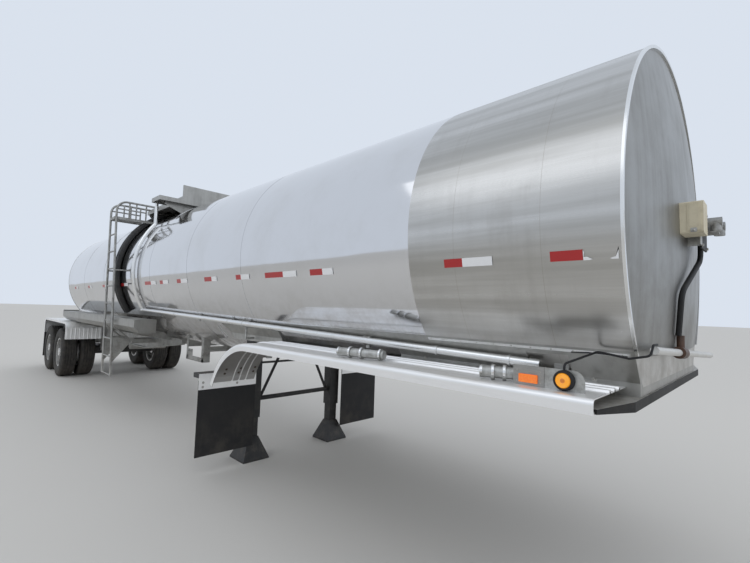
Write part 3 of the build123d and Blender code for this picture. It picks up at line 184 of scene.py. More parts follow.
class Finish:
    """A material that is being built, with one way of adding a node."""

    def __init__(self, name):
        self.name = name
        self.material = bpy.data.materials.new(name)
        self.material.use_nodes = True
        self.tree = self.material.node_tree
        self.tree.nodes.clear()
        self.out = self.tree.nodes.new("ShaderNodeOutputMaterial")
        self.surface = self.tree.nodes.new("ShaderNodeBsdfPrincipled")
        self.tree.links.new(self.surface.outputs[0], self.out.inputs[0])
        self.place = self.node("ShaderNodeTexCoord", output="Object")
        split = self.node("ShaderNodeSeparateXYZ", {}, {0: self.place})
        self.x, self.y, self.z = (Value(self, split.socket.node.outputs[i]) for i in range(3))

    def node(self, kind, settings=None, values=None, output=0):
        """Adds a node, sets it up, fills its sockets and gives one output."""
        made = self.tree.nodes.new(kind)
        for name, value in (settings or {}).items():
            setattr(made, name, value)
        for name, value in (values or {}).items():
            self.fill(made.inputs[name], value)
        return Value(self, made.outputs[output])

    def fill(self, socket, value):
        """Links a value to a socket, or sets the socket to a number or a colour."""
        if isinstance(value, Value):
            self.tree.links.new(value.socket, socket)
        elif socket.type == "RGBA":
            socket.default_value = (*value, 1.0)
        else:
            socket.default_value = value

    def normal_up(self):
        """How far the surface faces up, from -1 to 1."""
        geometry = self.node("ShaderNodeNewGeometry", output="Normal")
        split = self.node("ShaderNodeSeparateXYZ", {}, {0: geometry})
        return Value(self, split.socket.node.outputs[2])

    def noise(self, scale, detail=8.0, rough=0.7, place=None, twist=0.0):
        """Soft random values from 0 to 1."""
        values = {"Vector": place or self.place, "Scale": scale, "Detail": detail, "Roughness": rough}
        return self.node("ShaderNodeTexNoise", {}, values | {"Distortion": twist})

    def streaks(self, x, y, z, detail, rough, twist=0.0):
        """Noise with a scale of its own along each axis."""
        values = {0: self.place, 1: (x, y, z)}
        place = self.node("ShaderNodeVectorMath", {"operation": "MULTIPLY"}, values)
        return self.noise(1.0, detail, rough, place, twist)

    def cells(self, scale):
        """Distances to scattered points."""
        return self.node("ShaderNodeTexVoronoi", {}, {"Vector": self.place, "Scale": scale})

    def blend(self, share, first, second):
        """Mixes two colours."""
        values = {"Factor": share, 6: first, 7: second}
        return self.node("ShaderNodeMix", {"data_type": "RGBA"}, values, 2)

    def bump(self, height, strength, distance):
        """Relief from a height; it feeds Normal."""
        values = {"Height": height, "Strength": strength, "Distance": distance}
        self.fill(self.surface.inputs["Normal"], self.node("ShaderNodeBump", {}, values))

    def set(self, **values):
        """Sets or links the shader's own sockets; roughness and metal stay between 0 and 1."""
        names = {"colour": "Base Color", "rough": "Roughness", "metal": "Metallic",
                 "coat": "Coat Weight", "specular": "Specular IOR Level",
                 "glow": "Emission Color", "glow_strength": "Emission Strength"}
        for name, value in values.items():
            if name in ("rough", "metal") and isinstance(value, Value):
                value = value.clamped()
            self.fill(self.surface.inputs[names[name]], value)


FINISHES = {}
RECIPES = {}


def recipe(make):
    """Keeps the maker of a finish under its name."""
    RECIPES[make.__name__] = make
    return make


def finish(name):
    """The material of a finish, made once."""
    if name not in FINISHES:
        made = Finish(name)
        RECIPES[name](made)
        FINISHES[name] = made.material
    return FINISHES[name]


def tint(name):
    """A colour setting of the trailer."""
    return tuple(getattr(bpy.context.scene.trailer_colours, name))


def sizes():
    """The size settings of the trailer."""
    return bpy.context.scene.trailer_sizes


def low_dust(f, top, reach, speckle=9.0):
    """Share of dust: more near the ground and in patches."""
    patches = f.noise(speckle, 6.0, 0.65)
    return ((1.0 - f.z.ramp(top - reach, top)) * patches.ramp(0.35, 0.75)).clamped()


def dusty(f, dust, sheen, metal, fall, rough):
    """Metal under dust, which takes some of its shine away."""
    f.set(colour=f.blend(dust, sheen, tint("dust")), metal=metal - dust * fall, rough=rough)


@recipe
def mirror_jacket(f):
    """Polished sheet with shallow waves, fine scratches and a dusty belly."""
    wave = f.streaks(0.55, 1.7, 1.7, 2.0, 0.45)
    ripple = f.streaks(2.4, 6.0, 6.0, 1.0, 0.4)
    grain = f.streaks(9.0, 160.0, 160.0, 8.0, 0.7)
    stains = f.noise(1.6, 7.0, 0.62)
    smear = f.streaks(0.6, 5.0, 5.0, 5.0, 0.6).ramp(0.52, 0.8)
    smear *= f.z.near(AXIS_Z - 0.35, 0.1, 0.5)
    dust = low_dust(f, 1.9, 0.9) * 0.75
    sheen = f.blend(stains.ramp(0.42, 0.75) * 0.35, tint("mirror"), (0.58, 0.57, 0.55))
    f.bump(wave + ripple * 0.12 + grain * 0.0016, sizes().wave, 0.012)
    dusty(f, dust, sheen, 1.0, 0.55,
          0.045 + grain * 0.06 + stains.ramp(0.5, 0.8) * 0.05 + smear * 0.12 + dust * 0.35)


@recipe
def brushed_jacket(f):
    """Duller sheet, brushed round the tank, with faint darker stripes along it as painted reflection,
    and two sheet joints.
    """
    lines = f.streaks(3.0, 260.0, 260.0, 10.0, 0.75)
    wave = f.streaks(0.8, 2.2, 2.2, 2.0, 0.45)
    hoops = f.streaks(7.0, 0.12, 0.12, 4.0, 0.55)
    # Noise stripes along the tank: painted reflection in the colour, and roughness variation.
    rough_and_reflection_bands = f.streaks(0.18, 5.0, 5.0, 6.0, 0.6)
    stains = f.noise(3.2)
    streaks = f.streaks(9.0, 0.5, 0.5, 5.0, 0.6)
    dust = low_dust(f, 1.75, 0.6) * 0.5
    joint = (f.x.near(at(0.335), 0.0006) + f.x.near(at(0.815), 0.0006)) * (0.35 + stains * 0.6)
    # The darker stripes in this colour are painted reflection.
    sheen = f.blend(rough_and_reflection_bands.ramp(0.36, 0.66), tint("brushed"), (0.41, 0.40, 0.375))
    banded = f.blend(hoops.ramp(0.45, 0.7) * 0.18, sheen, (0.44, 0.43, 0.41))
    worn = f.blend((stains * streaks * 2.2).ramp(0.52, 0.95) * 0.4, banded, (0.38, 0.365, 0.34))
    f.bump(wave * 0.9 + lines * 0.01 - joint * 0.12, 0.32, 0.012)
    f.set(colour=f.blend((dust + joint * 0.7).clamped(), worn, (0.30, 0.26, 0.21)),
          metal=1.0 - dust * 0.5,
          rough=0.17 + lines * 0.12 + rough_and_reflection_bands * 0.12 + stains.ramp(0.5, 0.8) * 0.08 + dust * 0.3)


@recipe
def dull_head(f):
    """Head sheet: softly wavy, stained and streaked downwards, its dull grey darkened as painted shade.
    """
    wave = f.streaks(1.0, 2.6, 1.6, 2.5, 0.5, 0.6)
    streaks = f.streaks(1.0, 16.0, 0.9, 6.0, 0.6)
    stains = f.noise(2.6, 8.0, 0.68)
    grime = (1.0 - f.z.ramp(1.4, 2.1)) * stains.ramp(0.35, 0.7)
    # The head tint here holds painted shade; the darker tone marks stains and streaks.
    worn = f.blend((streaks * 0.6 + stains * 0.5).ramp(0.45, 0.8), tint("head"), (0.25, 0.245, 0.23))
    f.bump(wave + stains * 0.03, 0.4, 0.014)
    f.set(colour=f.blend(grime * 0.5, worn, (0.20, 0.185, 0.16)), metal=0.96 - grime * 0.3,
          rough=0.26 + stains * 0.22 + streaks * 0.06 + grime * 0.1)


@recipe
def bright_trim(f):
    """Bright rolled metal with fine scuffs."""
    scuffs = f.noise(60.0)
    stains = f.noise(4.0, 6.0, 0.6)
    dust = low_dust(f, 1.3, 0.9, 14.0) * 0.45
    sheen = f.blend(stains.ramp(0.5, 0.8) * 0.5, (0.80, 0.80, 0.79), STAIN)
    f.bump(scuffs * 0.02 + stains * 0.3, 0.25, 0.004)
    dusty(f, dust, sheen, 1.0, 0.6, 0.14 + scuffs * 0.16 + dust * 0.3)


@recipe
def pipe_metal(f):
    """Bright side pipe; across the front head it is white with oxide and has a rusty valve."""
    scuffs = f.noise(60.0)
    stains = f.noise(9.0, 7.0, 0.66)
    ahead = f.x > FRONT_X + 0.03
    valve = f.y.near(-0.27, 0.052, 0.004) * ahead
    oxide = (ahead * (0.45 + stains * 0.6)).clamped()
    sheen = f.blend(stains.ramp(0.5, 0.8) * 0.5, (0.82, 0.82, 0.81), STAIN)
    aged = f.blend(oxide, sheen, (0.60, 0.59, 0.56))
    f.bump(scuffs * 0.03 + stains * 0.3, 0.3, 0.004)
    rusty = f.blend(stains.ramp(0.4, 0.7), (0.10, 0.05, 0.03), (0.04, 0.028, 0.022))
    f.set(colour=f.blend(valve, aged, rusty), metal=0.98 - oxide * 0.6 - valve * 0.6,
          rough=0.14 + scuffs * 0.14 + oxide * 0.35)


@recipe
def fender_aluminium(f):
    """Near-white aluminium, dusty on top and streaked, with painted shade on its downward faces."""
    grain = f.streaks(14.0, 120.0, 120.0, 8.0, 0.7)
    stains = f.noise(2.2, 7.0, 0.66)
    streaks = f.streaks(2.0, 22.0, 22.0, 4.0, 0.6)
    up = f.normal_up().ramp(0.3, 0.95)
    # Downward faces turn near black: painted shade; the same mask also makes them rougher and less
    # metal.
    under = 1.0 - f.normal_up().ramp(-0.6, -0.2)
    dust = (up * (stains * 0.6 + streaks * 0.5).ramp(0.44, 0.78) * 0.6).clamped()
    sheen = f.blend(streaks.ramp(0.5, 0.8) * 0.4, tint("fender"), (0.72, 0.72, 0.71))
    dusted = f.blend(dust, sheen, (0.56, 0.52, 0.46))
    f.bump(grain * 0.02 + stains * 0.5, 0.22, 0.004)
    f.set(colour=f.blend(under * (0.75 + stains * 0.2), dusted, (0.075, 0.066, 0.056)),
          metal=0.66 - dust * 0.4 - under * 0.6,
          rough=0.28 + grain * 0.1 + dust * 0.3 + under * 0.4)


@recipe
def dull_sheet(f):
    """Weathered mill sheet with oxide blotches and runs."""
    blotch = f.noise(5.0)
    runs = f.streaks(18.0, 18.0, 1.4, 5.0, 0.6)
    fine = f.noise(90.0, 4.0, 0.6)
    wear = (blotch * 0.6 + runs * 0.5).ramp(0.42, 0.76)
    dust = low_dust(f, 1.5, 0.7, 12.0) * 0.4
    sheen = f.blend(wear, tint("sheet"), (0.33, 0.325, 0.305))
    f.bump(blotch * 0.25 + fine * 0.03, 0.3, 0.004)
    dusty(f, dust, sheen, 0.85, 0.4, 0.34 + blotch * 0.2 + dust * 0.2)


@recipe
def brushed_plate(f):
    """Small plate with cross-brushed grain."""
    grain = f.streaks(24.0, 60.0, 420.0, 8.0, 0.7)
    spots = f.noise(40.0, 7.0, 0.7)
    f.bump(grain * 0.05 + spots * 0.1, 0.3, 0.002)
    f.set(colour=f.blend(grain.ramp(0.35, 0.7), (0.40, 0.39, 0.37), (0.30, 0.295, 0.28)),
          metal=0.9 - spots.ramp(0.55, 0.8) * 0.3, rough=0.36 + grain * 0.14 + spots * 0.1)


def oxidised(f):
    """Blotches of grey oxide and their colour."""
    blotch = f.noise(9.0)
    return blotch, f.blend(blotch.ramp(0.38, 0.72), (0.42, 0.42, 0.405), DARK_OXIDE)


@recipe
def grey_frame(f):
    """Grey aluminium frame, oxidised and dusty."""
    blotch, sheen = oxidised(f)
    fine = f.noise(140.0, 3.0, 0.6)
    grime = f.cells(26.0).ramp(0.15, 0.6)
    dust = low_dust(f, 1.25, 1.0, 16.0) * 0.5
    f.bump(blotch * 0.2 + fine * 0.05, 0.35, 0.003)
    f.set(colour=f.blend((dust + (1.0 - grime) * 0.1).clamped(), sheen, tint("dust")),
          metal=0.72 - dust * 0.5, rough=0.42 + blotch * 0.18 + dust * 0.2)


@recipe
def bumper(f):
    """Grey bumper with red and white tape across its rear face."""
    blotch, sheen = oxidised(f)
    cells = f.cells(240.0).ramp(0.1, 0.55)
    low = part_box("rear_bumper")[0]
    taped = (f.x < low.x + 0.0005) * f.z.near(low.z + 0.055, 0.0245, 0.0005)
    pair = f.blend((f.y * 14.0).sine() > 0.0, tint("red"), tint("white"))
    f.bump(blotch * 0.2 + cells * taped * 0.1, 0.3, 0.002)
    f.set(colour=f.blend(taped, sheen, f.blend(blotch.ramp(0.55, 0.9) * 0.5, pair, tint("dust"))),
          metal=0.7 - taped * 0.7, rough=0.42 + blotch * 0.18 - taped * 0.1)


@recipe
def black_steel(f):
    """Black paint with dust, chips and a little rust."""
    blotch = f.noise(11.0, 8.0, 0.72)
    chips = f.noise(46.0, 6.0, 0.7).ramp(0.66, 0.72)
    fine = f.noise(180.0, 3.0, 0.6)
    up = f.normal_up().ramp(0.2, 0.9)
    dust = ((low_dust(f, 1.3, 1.3, 10.0) * 0.5 + up * 0.4) * blotch.ramp(0.3, 0.7)).clamped()
    paint = f.blend(blotch.ramp(0.4, 0.75) * 0.6, tint("black"), (0.045, 0.043, 0.041))
    chipped = f.blend(chips * 0.7, paint, (0.15, 0.075, 0.04))
    f.bump(blotch * 0.2 + fine * 0.05 - chips * 0.4, 0.3, 0.0025)
    f.set(colour=f.blend(dust * 0.32, chipped, tint("dust")), rough=0.38 + blotch * 0.2 + dust * 0.3,
          specular=0.45)


@recipe
def coupler_black(f):
    """Oily black coupler plate, its upper face rubbed to grey metal."""
    blotch = f.noise(9.0, 8.0, 0.72)
    rust = f.noise(34.0, 7.0, 0.7).ramp(0.5, 0.75)
    top = f.normal_up().ramp(0.6, 0.9)
    oily = f.blend(rust * 0.6, JET, (0.045, 0.028, 0.018))
    rubbed = f.blend(blotch.ramp(0.4, 0.7), (0.44, 0.43, 0.40), (0.27, 0.25, 0.215))
    f.bump(blotch * 0.3 + rust * 0.2, 0.35, 0.003)
    f.set(colour=f.blend(top, oily, rubbed), metal=top * (0.75 - rust * 0.3),
          rough=0.42 + blotch * 0.25, specular=0.3)


MOTTLED = {
    # noise, relief (of the blotches, of the pits, the pits' scale, strength, distance),
    # ramp and share of the dark tone, light tone, dark tone, roughness and its rise,
    # metal (most, fall, the fall's ramp)
    "worn_steel": ((16.0, 8.0, 0.72), (0.3, 0.15, 120.0, 0.4, 0.0025), (0.36, 0.7, 1.0),
                   (0.46, 0.44, 0.41), (0.22, 0.16, 0.11), (0.36, 0.3), (0.8, 0.5, 0.45, 0.75)),
    "cast_aluminium": ((22.0,), (0.2, 0.12, 160.0, 0.4, 0.002), (0.38, 0.72, 1.0),
                       (0.50, 0.50, 0.48), (0.30, 0.295, 0.275), (0.34, 0.25), (0.85, 0.3, 0.5, 0.8)),
    "nut_metal": ((120.0, 6.0, 0.7), (0.1, 0.0, 0.0, 0.3, 0.001), (0.45, 0.75, 1.0),
                  (0.50, 0.49, 0.46), (0.22, 0.18, 0.14), (0.3, 0.25), (0.9, 0.4, 0.5, 0.8)),
    "hose_rubber": ((14.0, 6.0, 0.65), (0.2, 0.0, 0.0, 0.25, 0.002), (0.45, 0.8, 0.35),
                    (0.013, 0.013, 0.013), (0.11, 0.10, 0.085), (0.32, 0.25), ()),
}


def mottled(f):
    """Bare castings, tube, fasteners and smooth hose: two tones in blotches."""
    noise, relief, tone, light, dark, rough, metal = MOTTLED[f.name]
    blotch = f.noise(*noise)
    height = blotch * relief[0]
    if relief[1]:
        height += f.cells(relief[2]).ramp(0.05, 0.5) * relief[1]
    f.bump(height, *relief[3:])
    f.set(colour=f.blend(blotch.ramp(*tone[:2]) * tone[2], light, dark),
          rough=rough[0] + blotch * rough[1])
    if metal:
        f.set(metal=metal[0] - blotch.ramp(*metal[2:]) * metal[1])


RECIPES.update(dict.fromkeys(MOTTLED, mottled))


@recipe
def couplings(f):
    """Black bracket and hoses with grey castings in front of them."""
    blotch = f.noise(24.0)
    casting = f.x > FRONT_X + 0.1535
    black = f.blend(blotch.ramp(0.45, 0.8) * 0.5, JET, (0.04, 0.038, 0.034))
    grey = f.blend(blotch.ramp(0.38, 0.72), (0.42, 0.42, 0.41), DARK_OXIDE)
    f.bump(blotch * 0.2, 0.35, 0.002)
    f.set(colour=f.blend(casting, black, grey), metal=casting * (0.85 - blotch * 0.2),
          rough=0.42 + blotch * 0.25, specular=0.3)


@recipe
def wheel_metal(f):
    """Forged aluminium wheels, bright under brake dust."""
    fine = f.noise(70.0, 6.0, 0.65)
    dirt = f.noise(12.0).ramp(0.36, 0.72)
    f.bump(fine * 0.06, 0.3, 0.002)
    f.set(colour=f.blend(dirt * 0.65, (0.74, 0.74, 0.73), (0.30, 0.265, 0.23)),
          metal=0.95 - dirt * 0.45, rough=0.2 + fine * 0.12 + dirt * 0.3)


@recipe
def tyre(f):
    """Tyre rubber, grey with dust in the grooves and on the wall."""
    patches = f.noise(12.0)
    fine = f.noise(220.0, 3.0, 0.6)
    dust = (patches.ramp(0.35, 0.75) * 0.5 + (1.0 - f.z.ramp(0.0, 0.35)) * 0.35).clamped()
    f.bump(patches * 0.2 + fine * 0.12, 0.35, 0.0018)
    f.set(colour=f.blend(dust * 0.2, tint("rubber"), tint("dust")),
          rough=0.6 + patches * 0.2 + dust * 0.1, specular=0.35)


@recipe
def black_rubber(f):
    """Flap sheet: matt, scuffed, dusty towards the bottom."""
    scuffs = f.streaks(10.0, 34.0, 7.0, 8.0, 0.7)
    patches = f.noise(5.0, 7.0, 0.66)
    low = (1.0 - f.z.ramp(0.12, 0.85)) * patches.ramp(0.36, 0.72)
    dust = (low * 0.6 + scuffs.ramp(0.6, 0.8) * 0.18).clamped()
    f.bump(patches * 0.4 + scuffs * 0.06, 0.3, 0.004)
    f.set(colour=f.blend(dust * 0.16, (0.014, 0.014, 0.015), tint("dust")),
          rough=0.5 + scuffs * 0.22 + dust * 0.2, specular=0.4)


def lens_finish(f, scale, base, light, glow):
    """Clear moulded lens with a fine prism pattern."""
    prisms = f.cells(scale).ramp(0.1, 0.7)
    f.bump(prisms * 0.5, 0.5, 0.002)
    # Emission: a glow for the tail lamps, and painted light on the reflectors, which hold no lamp.
    f.set(colour=f.blend(prisms * 0.6, base, light), rough=0.12 + prisms * 0.1, coat=0.8,
          glow=f.blend(prisms, (0.0, 0.0, 0.0), glow), glow_strength=0.25)


@recipe
def amber_lamp(f):
    """Round lens with moulded rings and a darker bullseye."""
    side, rise = f.x - LAMP_PLACE[0], f.z - LAMP_PLACE[2]
    rings = (side * side + rise * rise) * 1000.0
    prisms = f.cells(230.0).ramp(0.1, 0.7)
    eye = 1.0 - rings.ramp(0.03, 0.17)
    rim = rings.ramp(0.62, 0.95)
    bright = f.blend(prisms * 0.4, (1.0, 0.40, 0.012), (1.0, 0.50, 0.05))
    f.bump(prisms * 0.4 + (rings * 48.0).sine() * 0.2, 0.4, 0.002)
    f.set(colour=f.blend(eye * 0.8, f.blend(rim, bright, tint("amber")), (0.55, 0.13, 0.004)),
          rough=0.12 + prisms * 0.1, coat=0.8,
          glow=f.blend(eye, (0.62, 0.24, 0.0), (0.25, 0.06, 0.0)), glow_strength=0.3)


@recipe
def orange_reflector(f):
    """Orange side reflector, with a faint glow that is painted light."""
    lens_finish(f, 260.0, tint("orange"), (1.0, 0.30, 0.03), (0.80, 0.20, 0.01))


@recipe
def red_lamp(f):
    """Red tail lamp."""
    lens_finish(f, 150.0, tint("red"), (0.62, 0.03, 0.025), (0.24, 0.006, 0.006))


@recipe
def beige_box(f):
    """Sun-bleached moulded box, grimy at the bottom."""
    stains = f.noise(14.0, 7.0, 0.66)
    fine = f.noise(260.0, 3.0, 0.6)
    f.bump(stains * 0.2 + fine * 0.1, 0.3, 0.0015)
    f.set(colour=f.blend(stains.ramp(0.45, 0.8) * 0.6, tint("beige"), (0.42, 0.37, 0.27)),
          rough=0.48 + stains * 0.2)


def tape_finish(f, bright, dark):
    """Sheeting with its fine cell pattern, dirty in patches."""
    cells = f.cells(240.0).ramp(0.1, 0.55)
    grime = f.noise(9.0, 7.0, 0.68).ramp(0.55, 0.9)
    f.bump(cells * 0.2, 0.2, 0.0008)
    f.set(colour=f.blend((cells * 0.25 + grime * 0.6).clamped(), bright, dark), rough=0.3 + grime * 0.3,
          coat=0.35 - grime * 0.2)


@recipe
def tape_red(f):
    """Red half of the tape."""
    tape_finish(f, tint("red"), (0.30, 0.008, 0.009))


@recipe
def tape_white(f):
    """White half of the tape."""
    tape_finish(f, tint("white"), (0.64, 0.65, 0.66))


@recipe
def dark_fastener(f):
    """Rusted bolt heads and torn, blackened edges; the same near black stands as painted shade on the
    bay gussets and inside the hose stubs.
    """
    spots = f.noise(150.0, 6.0, 0.7)
    f.bump(spots * 0.2, 0.4, 0.001)
    f.set(colour=f.blend(spots.ramp(0.4, 0.75), (0.06, 0.05, 0.042), (0.14, 0.08, 0.05)),
          metal=0.3 + spots * 0.1, rough=0.5 + spots * 0.25)


@recipe
def pale_floor(f):
    """The studio's floor."""
    f.set(colour=tuple(bpy.context.scene.trailer_studio.floor), rough=0.85, specular=0.2)


def spokes(count, start=0.0):
    """Evenly spaced turns of a full circle."""
    return [2 * pi * (index + start) / count for index in range(count)]


def raised(point, height):
    """A point moved straight up."""
    return Vector(point) + Vector((0, 0, height))


def skin(shape, low, high):
    """A ring of faces between two loops of corners, of which one may be a single tip."""
    for index in range(max(len(low), len(high))):
        corners = [loop[step % len(loop)] for loop, step in
                   ((low, index), (low, index + 1), (high, index + 1), (high, index))]
        shape.faces.new(list(dict.fromkeys(corners)))


def prism(shape, *loops):
    """A closed body through loops of points."""
    rings = [[shape.verts.new(point) for point in loop] for loop in loops]
    for low, high in zip(rings, rings[1:]):
        skin(shape, low, high)
    shape.faces.new(rings[0][::-1])
    shape.faces.new(rings[-1])


def lathe(shape, profile, centre, normal, steps=32, turn=0.0):
    """Turns pairs of out and along round a line; an out of 0 closes an end."""
    line = Vector(normal).normalized()
    first = line.orthogonal().normalized()
    second = line.cross(first)
    rings = []
    for out, along in profile:
        angles = spokes(steps)[:steps if out > 0 else 1]
        foot = Vector(centre) + line * along
        rings.append([shape.verts.new(foot + (first * cos(turn + a) + second * sin(turn + a)) * out)
                      for a in angles])
    for low, high in zip(rings, rings[1:]):
        skin(shape, low, high)


def bolt(shape, centre, normal, radius, height, turn=0.0):
    """Hexagon head on a washer."""
    wide, thick = radius * 1.35, height * 0.18
    lathe(shape, ((0, 0), (wide, 0), (wide, thick), (0, thick)), centre, normal, 16)
    low, shoulder = height * 0.1, height * 0.82
    lathe(shape, ((0, low), (radius, low), (radius, shoulder), (radius * 0.8, height), (0, height)),
          centre, normal, 6, turn)


def tube(shape, points, radius, sides=10):
    """A round bar along points, closed at its ends."""
    points = [Vector(point) for point in points]
    side = (points[1] - points[0]).normalized().orthogonal().normalized()
    loops = []
    for index, point in enumerate(points):
        heading = (points[min(index + 1, len(points) - 1)] - points[max(index - 1, 0)]).normalized()
        side = (side - heading * side.dot(heading)).normalized()
        other = heading.cross(side)
        loops.append([point + (side * cos(a) + other * sin(a)) * radius for a in spokes(sides)])
    prism(shape, *loops)


def slab(shape, low, high, edge=0.001, start=(0, 0, 0)):
    """A box with rounded edges between two corners, which are measured from a start."""
    low, high = Vector(low) + Vector(start), Vector(high) + Vector(start)
    size = high - low
    place = Matrix.Translation((low + high) / 2) @ Matrix.Diagonal((*size, 1.0))
    made = bmesh.ops.create_cube(shape, size=1.0, matrix=place)
    edges = list({line for vert in made["verts"] for line in vert.link_edges})
    bmesh.ops.bevel(shape, geom=edges, offset=min(edge, min(size) * 0.45), segments=2, affect="EDGES")


def shapes(count):
    """Empty meshes to be filled."""
    return [bmesh.new() for _ in range(count)]


def only(kind, geometry):
    """The verts or the faces of a mixed list."""
    return [item for item in geometry if isinstance(item, kind)]


def mirrored(shape):
    """Adds the left-hand twin of what a mesh holds for the right."""
    copy = bmesh.ops.duplicate(shape, geom=shape.verts[:] + shape.edges[:] + shape.faces[:])["geom"]
    bmesh.ops.scale(shape, vec=(1, -1, 1), verts=only(bmesh.types.BMVert, copy))
    bmesh.ops.reverse_faces(shape, faces=only(bmesh.types.BMFace, copy))
    return shape


def add_object(name, data):
    """An object of the scene that shows some data."""
    made = bpy.data.objects.new(name, data)
    bpy.context.scene.collection.objects.link(made)
    return made


def mesh_object(name, shape, look):
    """An object from a mesh, with its finish."""
    mesh = bpy.data.meshes.new(name)
    shape.to_mesh(mesh)
    shape.free()
    mesh.materials.append(finish(look))
    return add_object(name, mesh)


def add_mesh(name, shape, look, body=BODY, sharp=35.0):
    """Adds a piece, smooth up to an angle, and lets it ride on a body."""
    bmesh.ops.recalc_face_normals(shape, faces=shape.faces[:])
    piece = mesh_object(name, shape, look)
    piece.data.shade_smooth()
    piece.data.set_sharp_from_angle(angle=radians(sharp))
    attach(piece, body)
    return piece


def add_pair(name, shape, look):
    """Adds a piece with its left-hand twin."""
    return add_mesh(name, mirrored(shape), look)


def dress(**looks):
    """Gives solids of the frame their finishes: each finish with the names of its nodes."""
    for look, nodes in looks.items():
        for node in nodes.split():
            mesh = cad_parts[node].data
            mesh.materials.clear()
            mesh.materials.append(finish(look))


def patch(shape, outline, radius):
    """A flat scrap on the right side of the tank, its corners as pairs of station and height."""
    shape.faces.new([shape.verts.new((at(station), -tank_side(z, radius), z))
                     for station, z in outline])


def wall_strip(shape, front, rear, low, high, radius, steps=6):
    """A strip on the right side of the tank between two stations and two heights."""
    heights = [low + (high - low) * step / steps for step in range(steps + 1)]
    for lower, upper in zip(heights, heights[1:]):
        patch(shape, ((rear, lower), (front, lower), (front, upper), (rear, upper)), radius)
    bmesh.ops.remove_doubles(shape, verts=shape.verts[:], dist=0.00001)


class TRAILER_OT_jackets(bpy.types.Operator):
    """Finishes both jackets, the heads and the trim rings"""
    bl_idname = "trailer.jackets"
    bl_label = "Jackets and heads"

    def execute(self, context):
        dress(mirror_jacket="tank_main_jacket", brushed_jacket="tank_front_jacket",
              dull_head="front_head rear_head", bright_trim="trim_rings")
        return {"FINISHED"}


class TRAILER_OT_tape(bpy.types.Operator):
    """Lays the red and white tape along both sides"""
    bl_idname = "trailer.tape"
    bl_label = "Side tape"

    def execute(self, context):
        strips = (
            # rear end, join and front end of each red and white pair, as stations
            (0.294, 0.152, 0.152), (0.880, 0.763, 0.586), (2.115, 1.964, 1.844), (2.762, 2.484, 2.294),
            (3.288, 3.191, 3.033), (3.990, 3.816, 3.694), (4.761, 4.639, 4.449), (5.337, 5.229, 5.040),
            (5.925, 5.681, 5.488), (7.071, 6.910, 6.705), (8.20, 8.05, 7.90), (9.30, 9.15, 9.0),
            (10.5, 10.35, 10.2),
        )
        torn = (
            ((0.151, 1.924), (0.146, 1.915), (0.149, 1.894), (0.135, 1.895), (0.113, 1.883),
             (0.124, 1.880), (0.151, 1.880)),
            ((0.046, 1.883), (0.023, 1.890), (0.012, 1.918), (0.0125, 1.929), (0.0125, 1.879),
             (0.038, 1.880)),
        )
        half, middle = sizes().tape_height / 2, sizes().tape_line
        radius = SHEET_RADIUS + SKIN
        for name, first in (("tape_red", 0), ("tape_white", 1)):
            shape = bmesh.new()
            for row in strips:
                if row[first] > row[first + 1]:
                    wall_strip(shape, row[first + 1], row[first], middle - half, middle + half, radius)
            if name == "tape_white":
                for outline in torn:
                    patch(shape, outline, radius)
            add_pair(name + "_pieces", shape, name)
        return {"FINISHED"}


class TRAILER_OT_markers(bpy.types.Operator):
    """Makes the marker lamps' grommets and lenses, the reflectors and their plates"""
    bl_idname = "trailer.markers"
    bl_label = "Marker lamps and reflectors"

    def execute(self, context):
        dress(cast_aluminium="marker_plates", black_rubber="marker_lamps")
        grommet = ((0.0433, 0.0), (0.0433, 0.012), (0.0425, 0.0185), (0.0395, 0.0245), (0.036, 0.0265),
                   (0.0328, 0.0252), (0.0318, 0.0222), (0.0316, 0.018))
        lens = [(0.0318, 0.0222), (0.0312, 0.0242)]
        edge, pitch, height, dome = 0.0285, 0.004, 0.0268, 0.0016
        for step in range(7):
            out = edge - pitch * step
            rise = height + dome * (1 - (out / lens[0][0]) ** 2)
            lens += [(out, rise), (out - 0.0012, rise - 0.0009), (out - 0.0028, rise - 0.0007)]
        lens += [(0.0, 0.0282)]
        grommets, lenses, reflectors, plates, rivets = shapes(5)
        start = (5.8715, PLATE_FACE, FENDER_TOP)
        lathe(grommets, grommet, LAMP_PLACE, RIGHT, 48)
        lathe(lenses, lens, LAMP_PLACE, RIGHT, 48)
        slab(plates, (0, -0.0026, 0.0008), (0.1422, 0.0004, 0.0872), 0.0008, start)
        slab(reflectors, (0.0265, -0.0090, 0.012), (0.1145, -0.0024, 0.050), 0.0022, start)
        for x in (5.889, 5.997):
            for z in (1.336, 1.385):
                lathe(rivets, ((0.0036, 0.002), (0.0032, 0.0034), (0.0018, 0.0044), (0.0, 0.0048)),
                      (x, PLATE_FACE, z), RIGHT, 14)
        add_pair("marker_grommets", grommets, "black_rubber")
        add_pair("marker_lenses", lenses, "amber_lamp")
        add_pair("marker_reflectors", reflectors, "orange_reflector")
        add_pair("marker_reflector_plates", plates, "brushed_plate")
        add_pair("marker_plate_rivets", rivets, "nut_metal")
        return {"FINISHED"}


def bay_plates():
    """Light plate, and gussets coloured near black as painted shade, in the first bay of the support
    box.
    """
    wall, top, drop = -0.79, 1.440, 0.045
    plate, gussets = shapes(2)
    slab(plate, (5.927, wall, 1.3555), (6.000, wall + 0.004, 1.4445))
    # The gussets' near black is painted shade.
    for rear, front in ((5.8145, 5.848), (5.898, 5.927)):
        prism(gussets, *([(rear, y, top), (front, y, top - drop), (front, y, top)]
                         for y in (wall + 0.006, wall + 0.012)))
    add_pair("bay_plates", plate, "brushed_plate")
    add_pair("bay_gussets", gussets, "dark_fastener")


